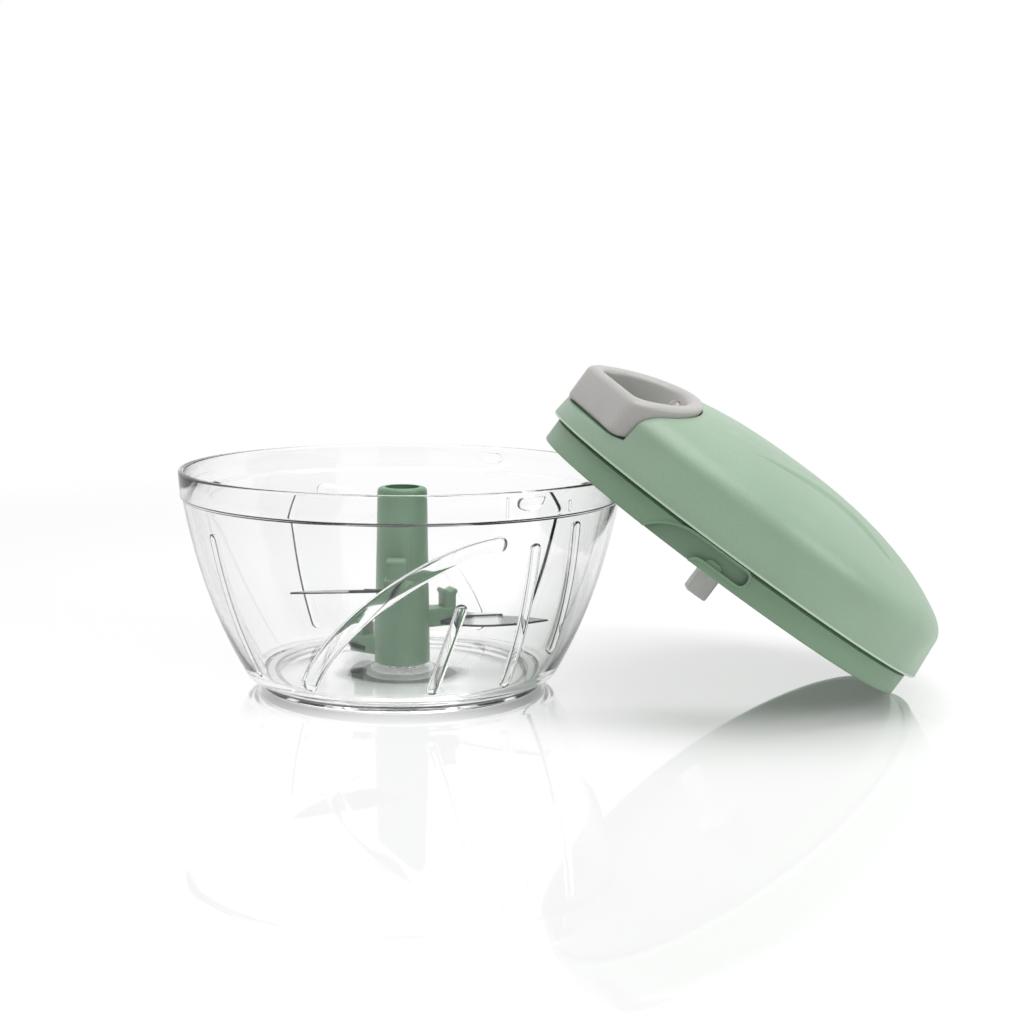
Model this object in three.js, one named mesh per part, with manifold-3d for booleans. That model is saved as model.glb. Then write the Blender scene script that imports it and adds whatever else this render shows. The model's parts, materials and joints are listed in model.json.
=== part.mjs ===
// Mini food chopper worked by a pull cord: a clear bowl, a turning blade unit, and the lid with
// its cord drive. The lid lies off the bowl, leaning on the bowl's rim.
// Millimetres and degrees, +Z up. The origin is on the bowl's axis, at the foot of the bowl.
import * as THREE from "three";
import { mergeVertices } from "three/addons/utils/BufferGeometryUtils.js";
import Module from "manifold-3d";

const wasm = await Module();
wasm.setup();

// Clearances, cut overrun and side counts
const GAP = 0.3;
const OVERRUN = 1;
const WIDE_SIDES = 48;
const ROUND_SIDES = 24;
const SMALL_SIDES = 12;
const CURVE_STEPS = 6;
const MERGE_DISTANCE = 1e-4;

// Bowl
const BOWL_HEIGHT = 59.4;
const RIM_RADIUS = 60;
const RIM_WALL = 1.5;
const RIM_BAND = 7.2;
const BAND_TAPER = 0.4;
const BAND_STEP = 0.6;
const LEDGE_WIDTH = 1.2;
const BOWL_WALL = 1.9;
const BASE_RADIUS = 42.4;
const BASE_RISE = 3.8;
const BASE_CHAMFER = 0.6;
const FLOOR_TOP = 3.8;
const FLOOR_RADIUS = 38.5;
const FLOOR_RECESS = 1.3;
const FOOT_RADIUS = 37.9;
const FOOT_WIDTH = 2.8;
const FOOT_DRAFT = 0.5;
const FOOT_SPREAD = 1.2;
const PAD_RADIUS = 9;
const BOSS_RADIUS = 5.5;
const BOSS_RISE = 0.8;
const WALL_BELLY_SHARES = { radius: 0.714, height: 0.429 };
const WALL_STEPS = 7;

// Ribs and lugs on the inside of the bowl
const RIB_HEIGHT = 1.5;
const RIB_SINK = 0.9;
const STRAIGHT_RIB_WIDTH = 3;
const SWIRL_RIB_WIDTH = 4.4;
const RIB_SIDES = 6;
const RIB_STEPS = 8;
const SWIRL_CURL = 1.8;
const RIB_END_SHARE = 0.03;
const RIB_PROBE_SHARE = 0.01;
const LUG_WIDTH = 8;
const LUG_HEIGHT = 3.2;
const LUG_REACH = 1.6;
const LUG_DROP = 3.5;
const LUG_STEPS = 3;
const LUG_AZIMUTHS = [-54, 66, 186];
// Each rib runs from its first azimuth and height share of the wall to its last
const STRAIGHT_RIB_SHARES = [
  { from: -146, to: -145, low: 0.04, high: 0.89 },
  { from: -77, to: -70.5, low: 0.02, high: 0.6 },
  { from: -48.5, to: -51, low: 0.02, high: 0.89 },
  { from: -30, to: -37, low: 0.2, high: 0.97 },
  { from: 39, to: 38, low: 0.04, high: 0.89 },
  { from: 130.5, to: 129, low: 0.04, high: 0.89 },
];
const SWIRL_RIB_SHARES = [
  { from: -122, to: -60, low: 0.02, high: 0.9 },
  { from: 58, to: 120, low: 0.02, high: 0.9 },
];

// Pivot pin and blade unit
const PIN_RADIUS = 2.5;
const PIN_SINK = 3;
const PIN_TOP = 26;
const PIN_CHAMFER = 0.8;
const COLUMN_TOP = 53.9;
const COLUMN_TOP_RADIUS = 6.8;
const COLUMN_FOOT_RADIUS = 7.7;
const COLLAR_HEIGHT = 2.8;
const COLLAR_GROOVE = 0.35;
const COLLAR_ROUND = 1.5;
const COLLAR_STEPS = 2;
const BORE_HEADROOM = 1.2;
const SOCKET_DEPTH = 14;
const SOCKET_MOUTH_RADIUS = 4.7;
const SOCKET_MOUTH_DEPTH = 1.6;
const ARM_AZIMUTHS = [-94, 26, 146];
const ARM_LEVELS = [26, 14.6, 6.1];
const ARM_NAMES = ["upper", "middle", "lower"];
const ARM_REACH = 16.2;
const ARM_HEIGHT = 5.4;
const ARM_WIDTH = 6.4;
const ARM_ROOT = 5;
const TAB_WIDTH = 4.9;
const TAB_HEIGHT = 10.5;
const TAB_LENGTH = 4.6;
const TAB_NOTCH = 0.9;
const TAB_NECK = 0.6;
const TAB_INSET = 0.3;
const STAKE_RADIUS = 1.5;
const BLADE_THICKNESS = 0.8;
const BLADE_LIFT = 1.8;
const BLADE_LENGTHS = [31, 31, 27];
const BLADE_WIDTH = 9.5;
const BLADE_ROOT_RADIUS = 4.2;
const BLADE_EDGE = 0.25;
const BLADE_SWEEP = -57;
const BLADE_RISE = 4;
const BLADE_PITCH = 8;
const BLADE_NEAR_SHARES = { back: 0.4, belly: 0.35, drop: 1.45 };
const BLADE_FAR_SHARES = { along: 0.72, back: 1.05, tip: 0.5 };
const GRIND_TURN = 14;
const GRIND_SHARES = { along: 0.72, across: 0.42 };

// Lid: its lean, its top cover and its lower housing
const LEAN = 35.5;
const LID_Y = -1.1;
const COVER_OVERHANG = 0.2;
const COVER_WALL = 2;
const LID_SHARES = { shoulder: 0.897, screws: 0.764, handleTip: 0.581, spool: 0.382, drum: 0.2924 };
const SIDE_HEIGHT = 10.5;
const SIDE_DRAFT = 1.1;
const SHOULDER_HEIGHT = 17.2;
const SHOULDER_STEPS = 4;
const SHOULDER_DROP = 2.86;
const DOME_STEPS = 6;
const DOME_SHARES = { radius: 0.63, height: 1.015 };
const LIP_CHAMFER = 0.5;
const SKIRT_CLEARANCE = 0.5;
const SKIRT_WALL = 1.8;
const SKIRT_DEPTH = 7.1;
const PLATE_THICKNESS = 2.2;
const PLATE_DROP = 1;
const SPIGOT_RISE = 4.5;
const SPIGOT_WALL = 1.6;
const SLOT_AZIMUTHS = [-107.5, 12.5, 132.5];
const SLOT_HEIGHT = 3.8;
const SLOT_LIP = 2.3;
const SLOT_LENGTH = 29.4;
const SLOT_DEPTH = 1.5;
const SLOT_WALL = 1;
const SLOT_SPAN = 18;
const ENTRY_SHARES = { slope: 0.34, mouth: 0.5, lip: 0.62 };
const SCREW_AZIMUTHS = [60, 140, 220, 300];
const SCREW_RADIUS = 1.2;
const SCREW_LENGTH = 10;
const SCREW_HEAD_RADIUS = 2.8;
const SCREW_HEAD_HEIGHT = 1.4;
const SCREW_RECESS = 1.6;
const SCREW_BOSS_RADIUS = 3.4;

// Pull handle, in its own frame: u outwards along the pull, v across it, n along the lid's axis
const HANDLE_AZIMUTH = 200;
const HANDLE_INSET = 1.7;
const HANDLE_HALF_WIDTH = 20.5;
const HANDLE_BAR = 3;
const HANDLE_SIDE = 5.5;
const HANDLE_HEEL = 3.8;
const HANDLE_BASE = 5.5;
const HANDLE_HEIGHT = 10.5;
const HANDLE_SLOPE = 0.45;
const HANDLE_CORNER = 6;
const HANDLE_HOLE_CORNER = 4;
const HANDLE_SHOULDER_SHARE = 0.68;
const HANDLE_TIP_SHARES = { side: 0.42, tip: 0.5 };
const POCKET_GAP = 0.45;

// Cord
const CORD_RADIUS = 1;
const CORD_DROP = 0.85;
const CORD_TURNS = 2.5;
const CORD_PITCH = 2.5;
const CORD_SLACK = 0.45;
const TAIL_SHARE = 0.75;
const CORD_SIDES = 6;
const CORD_LOOP_STEPS = 24;
const CORD_BEND_RADIUS = 4;
const CORD_BEND_STEPS = 6;
const KNOT_RADIUS = 2;
const KNOT_PROUD = 1.7;
const GUIDE_WALL = 1;
const GUIDE_FLARE = 7.1;
const GUIDE_FLARE_RADIUS = 2.6;

// Spool, its axle and its recoil spring
const SPOOL_HEADROOM = 2.95;
const SPOOL_FLANGE = 1.4;
const SPOOL_TOP_FLANGE = 0.9;
const DRUM_WALL = 2;
const SPOOL_FLOOR = 2.1;
const CAP_THICKNESS = 1;
const CAP_DROP = 0.3;
const CAP_HOLE = 3.6;
const AXLE_RADIUS = 2.5;
const AXLE_BOSS_RADIUS = 4.8;
const AXLE_BOSS_GAP = 0.5;
const WASHER_RADIUS = 5;
const WASHER_THICKNESS = 0.8;
const AXLE_SCREW_LENGTH = 7;
const SPRING_TURNS = 5;
const SPRING_STEPS = 20;
const SPRING_STRIP = 0.45;
const SPRING_SLACK = 0.5;

// Drive: square peg, bush, clutch cup and pawls
const PEG_SIZE = 6.4;
const PEG_LENGTH = 16.6;
const PEG_ROUND = 0.9;
const PEG_FLANGE_RADIUS = 6.5;
const PEG_FLANGE_HEIGHT = 1.3;
const JOURNAL_RADIUS = 4;
const SHANK_SIZE = 5;
const BUSH_WALL = 1.3;
const BUSH_FLANGE_RADIUS = 7.2;
const BUSH_FLANGE = 0.8;
const HUB_RADIUS = 7.6;
const HUB_RISE = 2.5;
const CUP_RADIUS = 16.5;
const CUP_WALL = 2;
const CUP_FLOOR = 1.7;
const CUP_RIM = 0.7;
const TOOTH_COUNT = 10;
const TOOTH_DEPTH = 1.9;
const TOOTH_SHARE = 0.97;
const DRIVE_SCREW_HEAD = 1.1;
const DRIVE_SCREW_LENGTH = 6;
const PAWL_CIRCLE = 8.6;
const PAWL_THICKNESS = 3;
const PAWL_HEADROOM = 1.5;
const PAWL_RADIUS = 2.4;
const PAWL_NOSE = 0.7;
const PAWL_SLACK = 0.95;
const PAWL_BACKLASH = 1.45;
const PAWL_PIN_RADIUS = 1;
const PAWL_PIN_SINK = 1.5;

// Sizes worked out from the ones above
const rad = THREE.MathUtils.degToRad;
const bandBottom = BOWL_HEIGHT - RIM_BAND;
const bandInnerRadius = RIM_RADIUS - RIM_WALL;
const wallTopRadius = RIM_RADIUS - BAND_TAPER - BAND_STEP;
const wallTop = bandBottom - BAND_STEP;
const columnFoot = FLOOR_TOP + BOSS_RISE + GAP;
const stakeCircle = ARM_REACH - TAB_LENGTH / 2 - TAB_INSET;
const plateUnder = -PLATE_DROP;
const plateTop = plateUnder + PLATE_THICKNESS;
const coverRadius = RIM_RADIUS + COVER_OVERHANG;
const skirtRadius = bandInnerRadius - SKIRT_CLEARANCE;
const shoulderRadius = coverRadius * LID_SHARES.shoulder;
const screwCircle = coverRadius * LID_SHARES.screws;
const handleFace = coverRadius - HANDLE_INSET;
const handleTip = coverRadius * LID_SHARES.handleTip;
const pocketTip = handleTip - POCKET_GAP;
const guideInner = pocketTip - COVER_WALL - GUIDE_FLARE;
const lean = rad(LEAN);
const lidZ = skirtRadius * Math.sin(lean) + SKIRT_DEPTH * Math.cos(lean);
const rimTouch = (BOWL_HEIGHT - lidZ) * Math.cos(lean) + PLATE_DROP + GAP;
const lidX = RIM_RADIUS + rimTouch / Math.sin(lean);
const hubTop = plateTop + HUB_RISE;
const bushTop = hubTop + GAP + BUSH_FLANGE;
const cupBottom = bushTop + GAP;
const cupFloorTop = cupBottom + CUP_FLOOR;
const shankTop = cupFloorTop + GAP;
const cupInnerRadius = CUP_RADIUS - CUP_WALL;
const pawlBottom = cupFloorTop + 2 * GAP;
const spoolRadius = coverRadius * LID_SHARES.spool;
const drumRadius = coverRadius * LID_SHARES.drum;
const windingRadius = drumRadius + CORD_SLACK + CORD_RADIUS;
const pawlTop = pawlBottom + PAWL_THICKNESS;
const spoolBase = pawlTop + PAWL_HEADROOM;
const grooveBottom = spoolBase + SPOOL_FLANGE;
const grooveHeight = CORD_TURNS * CORD_PITCH + 2 * (CORD_RADIUS + GAP);
const grooveTop = grooveBottom + grooveHeight;
const windingBottom = grooveBottom + CORD_RADIUS + GAP;
const windingTop = windingBottom + CORD_TURNS * CORD_PITCH;
const cordLevel = windingTop - CORD_DROP;
const spoolTop = grooveTop + SPOOL_TOP_FLANGE;
const coverHeight = spoolTop + SPOOL_HEADROOM + COVER_WALL;
const springRoom = drumRadius - DRUM_WALL;
const capTop = spoolTop - CAP_DROP;
const capBottom = capTop - CAP_THICKNESS;

// Solids

function signedVolume(geometry) {
  const p = geometry.getAttribute("position");
  const index = geometry.index;
  const a = new THREE.Vector3();
  const b = new THREE.Vector3();
  const c = new THREE.Vector3();
  let sum = 0;
  for (let i = 0; i < index.count; i += 3) {
    a.fromBufferAttribute(p, index.getX(i));
    b.fromBufferAttribute(p, index.getX(i + 1));
    c.fromBufferAttribute(p, index.getX(i + 2));
    sum += a.dot(b.cross(c));
  }
  return sum;
}

// A closed geometry as a solid, its shared vertices merged and its faces turned outwards
function solid(geometry) {
  const bare = geometry.clone();
  bare.deleteAttribute("normal");
  bare.deleteAttribute("uv");
  const merged = mergeVertices(bare, MERGE_DISTANCE);
  const triVerts = new Uint32Array(merged.index.array);
  if (signedVolume(merged) < 0) {
    for (let i = 0; i < triVerts.length; i += 3) {
      const first = triVerts[i];
      triVerts[i] = triVerts[i + 1];
      triVerts[i + 1] = first;
    }
  }
  const vertProperties = new Float32Array(merged.getAttribute("position").array);
  return new wasm.Manifold(new wasm.Mesh({ numProp: 3, vertProperties, triVerts }));
}

function join(...solids) {
  return solids.reduce((sum, next) => sum.add(next));
}

function cut(base, ...tools) {
  return tools.reduce((rest, tool) => rest.subtract(tool), base);
}

// A solid turned about Z by degrees, then moved
function place(body, degrees, x = 0, y = 0, z = 0) {
  return body.rotate([0, 0, degrees]).translate([x, y, z]);
}

function revolve(profile, sides) {
  const points = profile.map(([r, z]) => new THREE.Vector2(r, z));
  return solid(new THREE.LatheGeometry(points, sides).rotateX(Math.PI / 2));
}

function rod(radius, bottom, top, sides = SMALL_SIDES) {
  return revolve([[0, bottom], [radius, bottom], [radius, top], [0, top]], sides);
}

function tube(inner, outer, bottom, top, sides) {
  const profile = [[inner, bottom], [outer, bottom], [outer, top], [inner, top], [inner, bottom]];
  return revolve(profile, sides);
}

function prism(shape, bottom, top, curveSegments = CURVE_STEPS) {
  const options = { depth: top - bottom, bevelEnabled: false, curveSegments };
  return solid(new THREE.ExtrudeGeometry(shape, options)).translate([0, 0, bottom]);
}

function outline(points) {
  return new THREE.Shape(points.map(([x, y]) => new THREE.Vector2(x, y)));
}

// A prism whose outline lies in the plane of X and Z, centred on Y
function sidePrism(points, width) {
  const flat = prism(outline(points), -width / 2, width / 2);
  return flat.rotate([90, 0, 0]);
}

function squareBar(size, bottom, top) {
  const box = new THREE.BoxGeometry(size, size, top - bottom);
  return solid(box).translate([0, 0, (top + bottom) / 2]);
}

function bend(start, middle, end, steps) {
  const curve = new THREE.QuadraticBezierCurve(
    new THREE.Vector2(...start),
    new THREE.Vector2(...middle),
    new THREE.Vector2(...end),
  );
  return curve.getPoints(steps).map((p) => [p.x, p.y]);
}

function wire(curve, radius, sides, steps) {
  const ring = new THREE.Shape();
  for (let i = 0; i < sides; i += 1) {
    const angle = (2 * Math.PI * i) / sides;
    const [x, y] = [radius * Math.cos(angle), radius * Math.sin(angle)];
    if (i) ring.lineTo(x, y);
    else ring.moveTo(x, y);
  }
  const options = { steps, extrudePath: curve, bevelEnabled: false };
  return solid(new THREE.ExtrudeGeometry(ring, options));
}

// Materials

function finish(color, roughness, metalness = 0, opacity = 1) {
  const transparent = opacity < 1;
  const settings = { color, roughness, metalness, opacity, transparent };
  return new THREE.MeshStandardMaterial(settings);
}

const finishes = {
  clear: finish(0xf2f6f5, 0.06, 0, 0.35),
  green: finish(0x8fb096, 0.45),
  darkGreen: finish(0x739a7c, 0.45),
  grey: finish(0xa9a7a3, 0.4),
  paleGrey: finish(0xbdbbb6, 0.45),
  white: finish(0xe6e4de, 0.5),
  blade: finish(0xb9bcbd, 0.22, 1),
  steel: finish(0x9a9c9e, 0.35, 1),
  cord: finish(0xe2e0da, 0.85),
};

function piece(name, body, material) {
  const mesh = body.getMesh();
  const geometry = new THREE.BufferGeometry();
  const positions = new THREE.BufferAttribute(new Float32Array(mesh.vertProperties), 3);
  geometry.setAttribute("position", positions);
  geometry.setIndex(new THREE.BufferAttribute(new Uint32Array(mesh.triVerts), 1));
  geometry.computeVertexNormals();
  const node = new THREE.Mesh(geometry, material);
  node.name = name;
  return node;
}

// Bowl

// The curve of the wall between the base and the rim band, set in by the wall's thickness or not
function wallCurve(inset) {
  const radiusSpan = wallTopRadius - BASE_RADIUS;
  const heightSpan = wallTop - BASE_RISE;
  const bellyRadius = BASE_RADIUS + radiusSpan * WALL_BELLY_SHARES.radius;
  const bellyHeight = BASE_RISE + heightSpan * WALL_BELLY_SHARES.height;
  return new THREE.QuadraticBezierCurve(
    new THREE.Vector2(BASE_RADIUS - inset, BASE_RISE + inset),
    new THREE.Vector2(bellyRadius - inset, bellyHeight),
    new THREE.Vector2(wallTopRadius - inset, wallTop),
  );
}

// A point on the inside of the wall, with the direction into the bowl there
function wallPoint(azimuth, share) {
  const curve = wallCurve(BOWL_WALL);
  const spot = curve.getPoint(share);
  const tangent = curve.getTangent(share);
  const out = new THREE.Vector3(Math.cos(azimuth), Math.sin(azimuth), 0);
  const point = out.clone().multiplyScalar(spot.x).setZ(spot.y);
  const inward = out.multiplyScalar(-tangent.y).setZ(tangent.x);
  return { point, inward };
}

// A rib laid along the inside of the wall, thickest in its middle and drawn in at its ends.
// A curl over 1 makes it climb steeply at first and flatten out towards its top.
function rib({ from, to, low, high }, width, curl) {
  const shape = new THREE.CylinderGeometry(1, 1, 1, RIB_SIDES, RIB_STEPS);
  const at = shape.getAttribute("position");
  const spotAt = (t) => {
    const azimuth = rad(THREE.MathUtils.lerp(from, to, t));
    const climb = 1 - Math.sign(1 - t) * Math.abs(1 - t) ** curl;
    return wallPoint(azimuth, THREE.MathUtils.lerp(low, high, climb));
  };
  for (let i = 0; i < at.count; i += 1) {
    const t = at.getY(i) + 1 / 2;
    const along = THREE.MathUtils.lerp(RIB_END_SHARE, 1 - RIB_END_SHARE, t);
    const swell = Math.sqrt(Math.sin(Math.PI * along));
    const { point, inward } = spotAt(t);
    const next = spotAt(t + RIB_PROBE_SHARE).point;
    const ahead = next.sub(spotAt(t - RIB_PROBE_SHARE).point).normalize();
    const across = ahead.cross(inward).normalize();
    const depth = at.getZ(i) > 0 ? RIB_HEIGHT * swell : RIB_SINK;
    point.addScaledVector(across, (at.getX(i) * swell * width) / 2);
    point.addScaledVector(inward, at.getZ(i) * depth);
    at.setXYZ(i, point.x, point.y, point.z);
  }
  return solid(shape);
}

// A bayonet lug on the inside of the rim band, rounded at one end and pointed at the other
function lug(azimuth) {
  const half = LUG_WIDTH / 2;
  const drop = new THREE.Shape();
  drop.moveTo(half, LUG_HEIGHT / 2);
  drop.quadraticCurveTo(0, LUG_HEIGHT / 2, -half / 2, LUG_HEIGHT / 2);
  drop.quadraticCurveTo(-half, LUG_HEIGHT / 2, -half, 0);
  drop.quadraticCurveTo(-half, -LUG_HEIGHT / 2, 0, -LUG_HEIGHT / 2);
  drop.quadraticCurveTo(half, -LUG_HEIGHT / 4, half, LUG_HEIGHT / 2);
  const inner = bandInnerRadius - LUG_REACH;
  const body = prism(drop, inner, bandInnerRadius + RIM_WALL / 3, LUG_STEPS);
  const upright = body.rotate([90, 0, 0]).rotate([0, 0, 90]);
  return place(upright, azimuth, 0, 0, BOWL_HEIGHT - LUG_DROP);
}

function makeBowl() {
  const rimInset = RIM_WALL / 3;
  const footInner = FOOT_RADIUS - FOOT_WIDTH;
  const outer = wallCurve(0).getPoints(WALL_STEPS).map((p) => [p.x, p.y]);
  const inner = wallCurve(BOWL_WALL).getPoints(WALL_STEPS).map((p) => [p.x, p.y]);
  const bowlSolid = revolve(
    [
      [0, 0],
      [PAD_RADIUS, 0],
      [PAD_RADIUS + FOOT_DRAFT, FLOOR_RECESS],
      [footInner - FOOT_DRAFT, FLOOR_RECESS],
      [footInner, 0],
      [FOOT_RADIUS, 0],
      [FOOT_RADIUS + FOOT_SPREAD, BASE_RISE / 2],
      [BASE_RADIUS - BASE_CHAMFER, BASE_RISE - BASE_CHAMFER],
      ...outer,
      [wallTopRadius + BAND_STEP, bandBottom],
      [RIM_RADIUS, BOWL_HEIGHT - rimInset],
      [RIM_RADIUS - rimInset, BOWL_HEIGHT],
      [bandInnerRadius + rimInset, BOWL_HEIGHT],
      [bandInnerRadius, BOWL_HEIGHT - rimInset],
      [bandInnerRadius - BAND_TAPER / 2, bandBottom + LEDGE_WIDTH / 2],
      ...inner.reverse(),
      [FLOOR_RADIUS, FLOOR_TOP],
      [BOSS_RADIUS + FOOT_DRAFT, FLOOR_TOP],
      [BOSS_RADIUS, FLOOR_TOP + BOSS_RISE],
      [0, FLOOR_TOP + BOSS_RISE],
    ],
    WIDE_SIDES,
  );
  const straight = STRAIGHT_RIB_SHARES.map((run) => rib(run, STRAIGHT_RIB_WIDTH, 1));
  const swirls = SWIRL_RIB_SHARES.map((run) => rib(run, SWIRL_RIB_WIDTH, SWIRL_CURL));
  const lugs = LUG_AZIMUTHS.map(lug);
  const pinTopHole = FLOOR_TOP + BOSS_RISE + OVERRUN;
  const pinHole = rod(PIN_RADIUS + GAP, pinTopHole - PIN_SINK - OVERRUN, pinTopHole);
  return cut(join(bowlSolid, ...straight, ...swirls, ...lugs), pinHole);
}

function makePivotPin() {
  const bottom = FLOOR_TOP + BOSS_RISE - PIN_SINK + GAP;
  const profile = [
    [0, bottom],
    [PIN_RADIUS, bottom],
    [PIN_RADIUS, PIN_TOP - PIN_CHAMFER],
    [PIN_RADIUS - PIN_CHAMFER, PIN_TOP],
    [0, PIN_TOP],
  ];
  return revolve(profile, SMALL_SIDES);
}

// Blade unit

// The blade's outline, its root round the stake at the origin and its tip along +X
function bladeOutline(length, grow) {
  const root = BLADE_ROOT_RADIUS + grow;
  const belly = BLADE_WIDTH - BLADE_ROOT_RADIUS + grow;
  const shape = new THREE.Shape();
  shape.absarc(0, 0, root, Math.PI / 2, -Math.PI / 2, false);
  const near = BLADE_NEAR_SHARES;
  const far = BLADE_FAR_SHARES;
  const tip = [length + grow, root * far.tip];
  const back = root * far.back;
  shape.bezierCurveTo(length * near.belly, -belly * near.drop, length * far.along, -belly, ...tip);
  shape.bezierCurveTo(length * far.along, back, length * near.back, back, 0, root);
  return shape;
}

// Moves a blade solid from its flat frame to its arm
function seatBlade(body, index) {
  const azimuth = ARM_AZIMUTHS[index];
  const pitched = body.rotate([BLADE_PITCH, -BLADE_RISE, 0]);
  const turned = pitched.rotate([0, 0, azimuth + BLADE_SWEEP]);
  const x = stakeCircle * Math.cos(rad(azimuth));
  const y = stakeCircle * Math.sin(rad(azimuth));
  return turned.translate([x, y, ARM_LEVELS[index] + BLADE_LIFT]);
}

function makeBlade(index) {
  const length = BLADE_LENGTHS[index];
  const half = BLADE_THICKNESS / 2;
  const plate = prism(bladeOutline(length, 0), -half, half);
  const slope = BLADE_WIDTH / 2;
  const wedge = sidePrism(
    [
      [0, BLADE_EDGE],
      [slope, half + BLADE_EDGE],
      [slope, BLADE_WIDTH],
      [-BLADE_WIDTH, BLADE_WIDTH],
      [-BLADE_WIDTH, BLADE_EDGE - half],
    ],
    length,
  );
  const grind = wedge.rotate([0, 0, GRIND_TURN - 90]);
  const start = [length * GRIND_SHARES.along, -BLADE_WIDTH * GRIND_SHARES.across, 0];
  const ground = cut(plate, grind.translate(start));
  const hole = rod(STAKE_RADIUS + GAP, -OVERRUN, OVERRUN);
  return seatBlade(cut(ground, hole), index);
}

// One arm of the column with its post, and the slot that its blade lies in
function makeArm(index) {
  const level = ARM_LEVELS[index];
  const azimuth = ARM_AZIMUTHS[index];
  const beam = sidePrism(
    [[ARM_ROOT, 0], [ARM_REACH, 0], [ARM_REACH, ARM_HEIGHT - TAB_INSET], [ARM_ROOT, ARM_HEIGHT]],
    ARM_WIDTH,
  );
  const back = ARM_REACH - TAB_LENGTH - TAB_INSET;
  const front = back + TAB_LENGTH;
  const middle = (back + front) / 2;
  const head = TAB_HEIGHT - TAB_NOTCH;
  const tab = sidePrism(
    [
      [back + TAB_NECK, ARM_HEIGHT / 2],
      [front - TAB_NECK, ARM_HEIGHT / 2],
      [front - TAB_NECK, head - TAB_NOTCH],
      [front, head],
      [front - TAB_NECK, TAB_HEIGHT],
      [middle, head],
      [back + TAB_NECK, TAB_HEIGHT],
      [back, head],
      [back + TAB_NECK, head - TAB_NOTCH],
    ],
    TAB_WIDTH,
  );
  const arm = place(join(beam, tab), azimuth, 0, 0, level);
  const slotHalf = BLADE_THICKNESS / 2 + GAP;
  const slot = prism(bladeOutline(BLADE_LENGTHS[index], GAP), -slotHalf, slotHalf);
  const room = cut(slot, rod(STAKE_RADIUS, -OVERRUN, OVERRUN));
  return cut(arm, seatBlade(room, index));
}

function makeColumn() {
  const collarFoot = COLUMN_TOP - COLLAR_HEIGHT;
  const shell = revolve(
    [
      [0, columnFoot],
      [COLUMN_FOOT_RADIUS, columnFoot],
      [COLUMN_TOP_RADIUS, collarFoot - COLLAR_GROOVE],
      [COLUMN_TOP_RADIUS - COLLAR_GROOVE, collarFoot],
      [COLUMN_TOP_RADIUS, collarFoot + COLLAR_GROOVE],
      ...bend(
        [COLUMN_TOP_RADIUS, COLUMN_TOP - COLLAR_ROUND],
        [COLUMN_TOP_RADIUS, COLUMN_TOP],
        [COLUMN_TOP_RADIUS - COLLAR_ROUND, COLUMN_TOP],
        COLLAR_STEPS,
      ),
      [0, COLUMN_TOP],
    ],
    ROUND_SIDES,
  );
  const arms = ARM_LEVELS.map((level, index) => makeArm(index));
  const boreTop = PIN_TOP + BORE_HEADROOM;
  const bore = rod(PIN_RADIUS + GAP, columnFoot - OVERRUN, boreTop, SMALL_SIDES);
  const socketSize = PEG_SIZE + 2 * GAP;
  const socket = squareBar(socketSize, COLUMN_TOP - SOCKET_DEPTH, COLUMN_TOP + OVERRUN);
  const mouthBottom = COLUMN_TOP - SOCKET_MOUTH_DEPTH;
  const mouth = rod(SOCKET_MOUTH_RADIUS, mouthBottom, COLUMN_TOP + OVERRUN);
  return cut(join(shell, ...arms), bore, socket, mouth);
}

// Lid shells

// The outside of the cover, or its inside when it is set in by the wall
function coverProfile(inset) {
  const lipRadius = coverRadius - inset;
  const sideRadius = lipRadius - SIDE_DRAFT;
  const shoulder = [shoulderRadius - inset / 2, SHOULDER_HEIGHT - inset];
  const top = coverHeight - inset;
  const corner = [sideRadius, SHOULDER_HEIGHT - inset - SHOULDER_DROP];
  const crown = [shoulder[0] * DOME_SHARES.radius, top * DOME_SHARES.height];
  const bottom = inset ? -OVERRUN : 0;
  const chamfer = [[lipRadius - LIP_CHAMFER, 0], [lipRadius, LIP_CHAMFER]];
  const lip = inset ? [[lipRadius, bottom]] : chamfer;
  return [
    [0, bottom],
    ...lip,
    ...bend([sideRadius, SIDE_HEIGHT - inset / 2], corner, shoulder, SHOULDER_STEPS),
    ...bend(shoulder, crown, [0, top], DOME_STEPS).slice(1),
  ];
}

// The handle's outline seen along the lid's axis, its face drawn out to the front given
function handleOutline(face, halfWidth, tip, corner, front = face) {
  const shoulder = THREE.MathUtils.lerp(tip, face, HANDLE_SHOULDER_SHARE);
  const side = THREE.MathUtils.lerp(tip, shoulder, HANDLE_TIP_SHARES.side);
  const nose = halfWidth * HANDLE_TIP_SHARES.tip;
  const shape = new THREE.Shape();
  shape.moveTo(front, -halfWidth + corner);
  shape.lineTo(front, halfWidth - corner);
  shape.quadraticCurveTo(front, halfWidth, front - corner, halfWidth);
  shape.lineTo(shoulder, halfWidth);
  shape.bezierCurveTo(side, halfWidth, tip, nose, tip, 0);
  shape.bezierCurveTo(tip, -nose, side, -halfWidth, shoulder, -halfWidth);
  shape.lineTo(front - corner, -halfWidth);
  shape.quadraticCurveTo(front, -halfWidth, front, -halfWidth + corner);
  return shape;
}

// The slab between the handle's sloping underside and top, each moved by its own amount
function handleSlab(lower, upper) {
  const near = handleTip - coverRadius;
  const far = handleFace + coverRadius;
  const base = (u) => HANDLE_BASE + (handleFace - u) * HANDLE_SLOPE;
  const points = [
    [near, base(near) + lower],
    [far, base(far) + lower],
    [far, base(far) + upper],
    [near, base(near) + upper],
  ];
  return sidePrism(points, 2 * coverRadius);
}

function handleBlock(grow, front, lower, upper) {
  const wide = HANDLE_HALF_WIDTH + grow;
  const shape = handleOutline(handleFace, wide, handleTip - grow, HANDLE_CORNER, front);
  const block = prism(shape, -coverHeight, 2 * coverHeight);
  return block.intersect(handleSlab(lower, upper));
}

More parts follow.
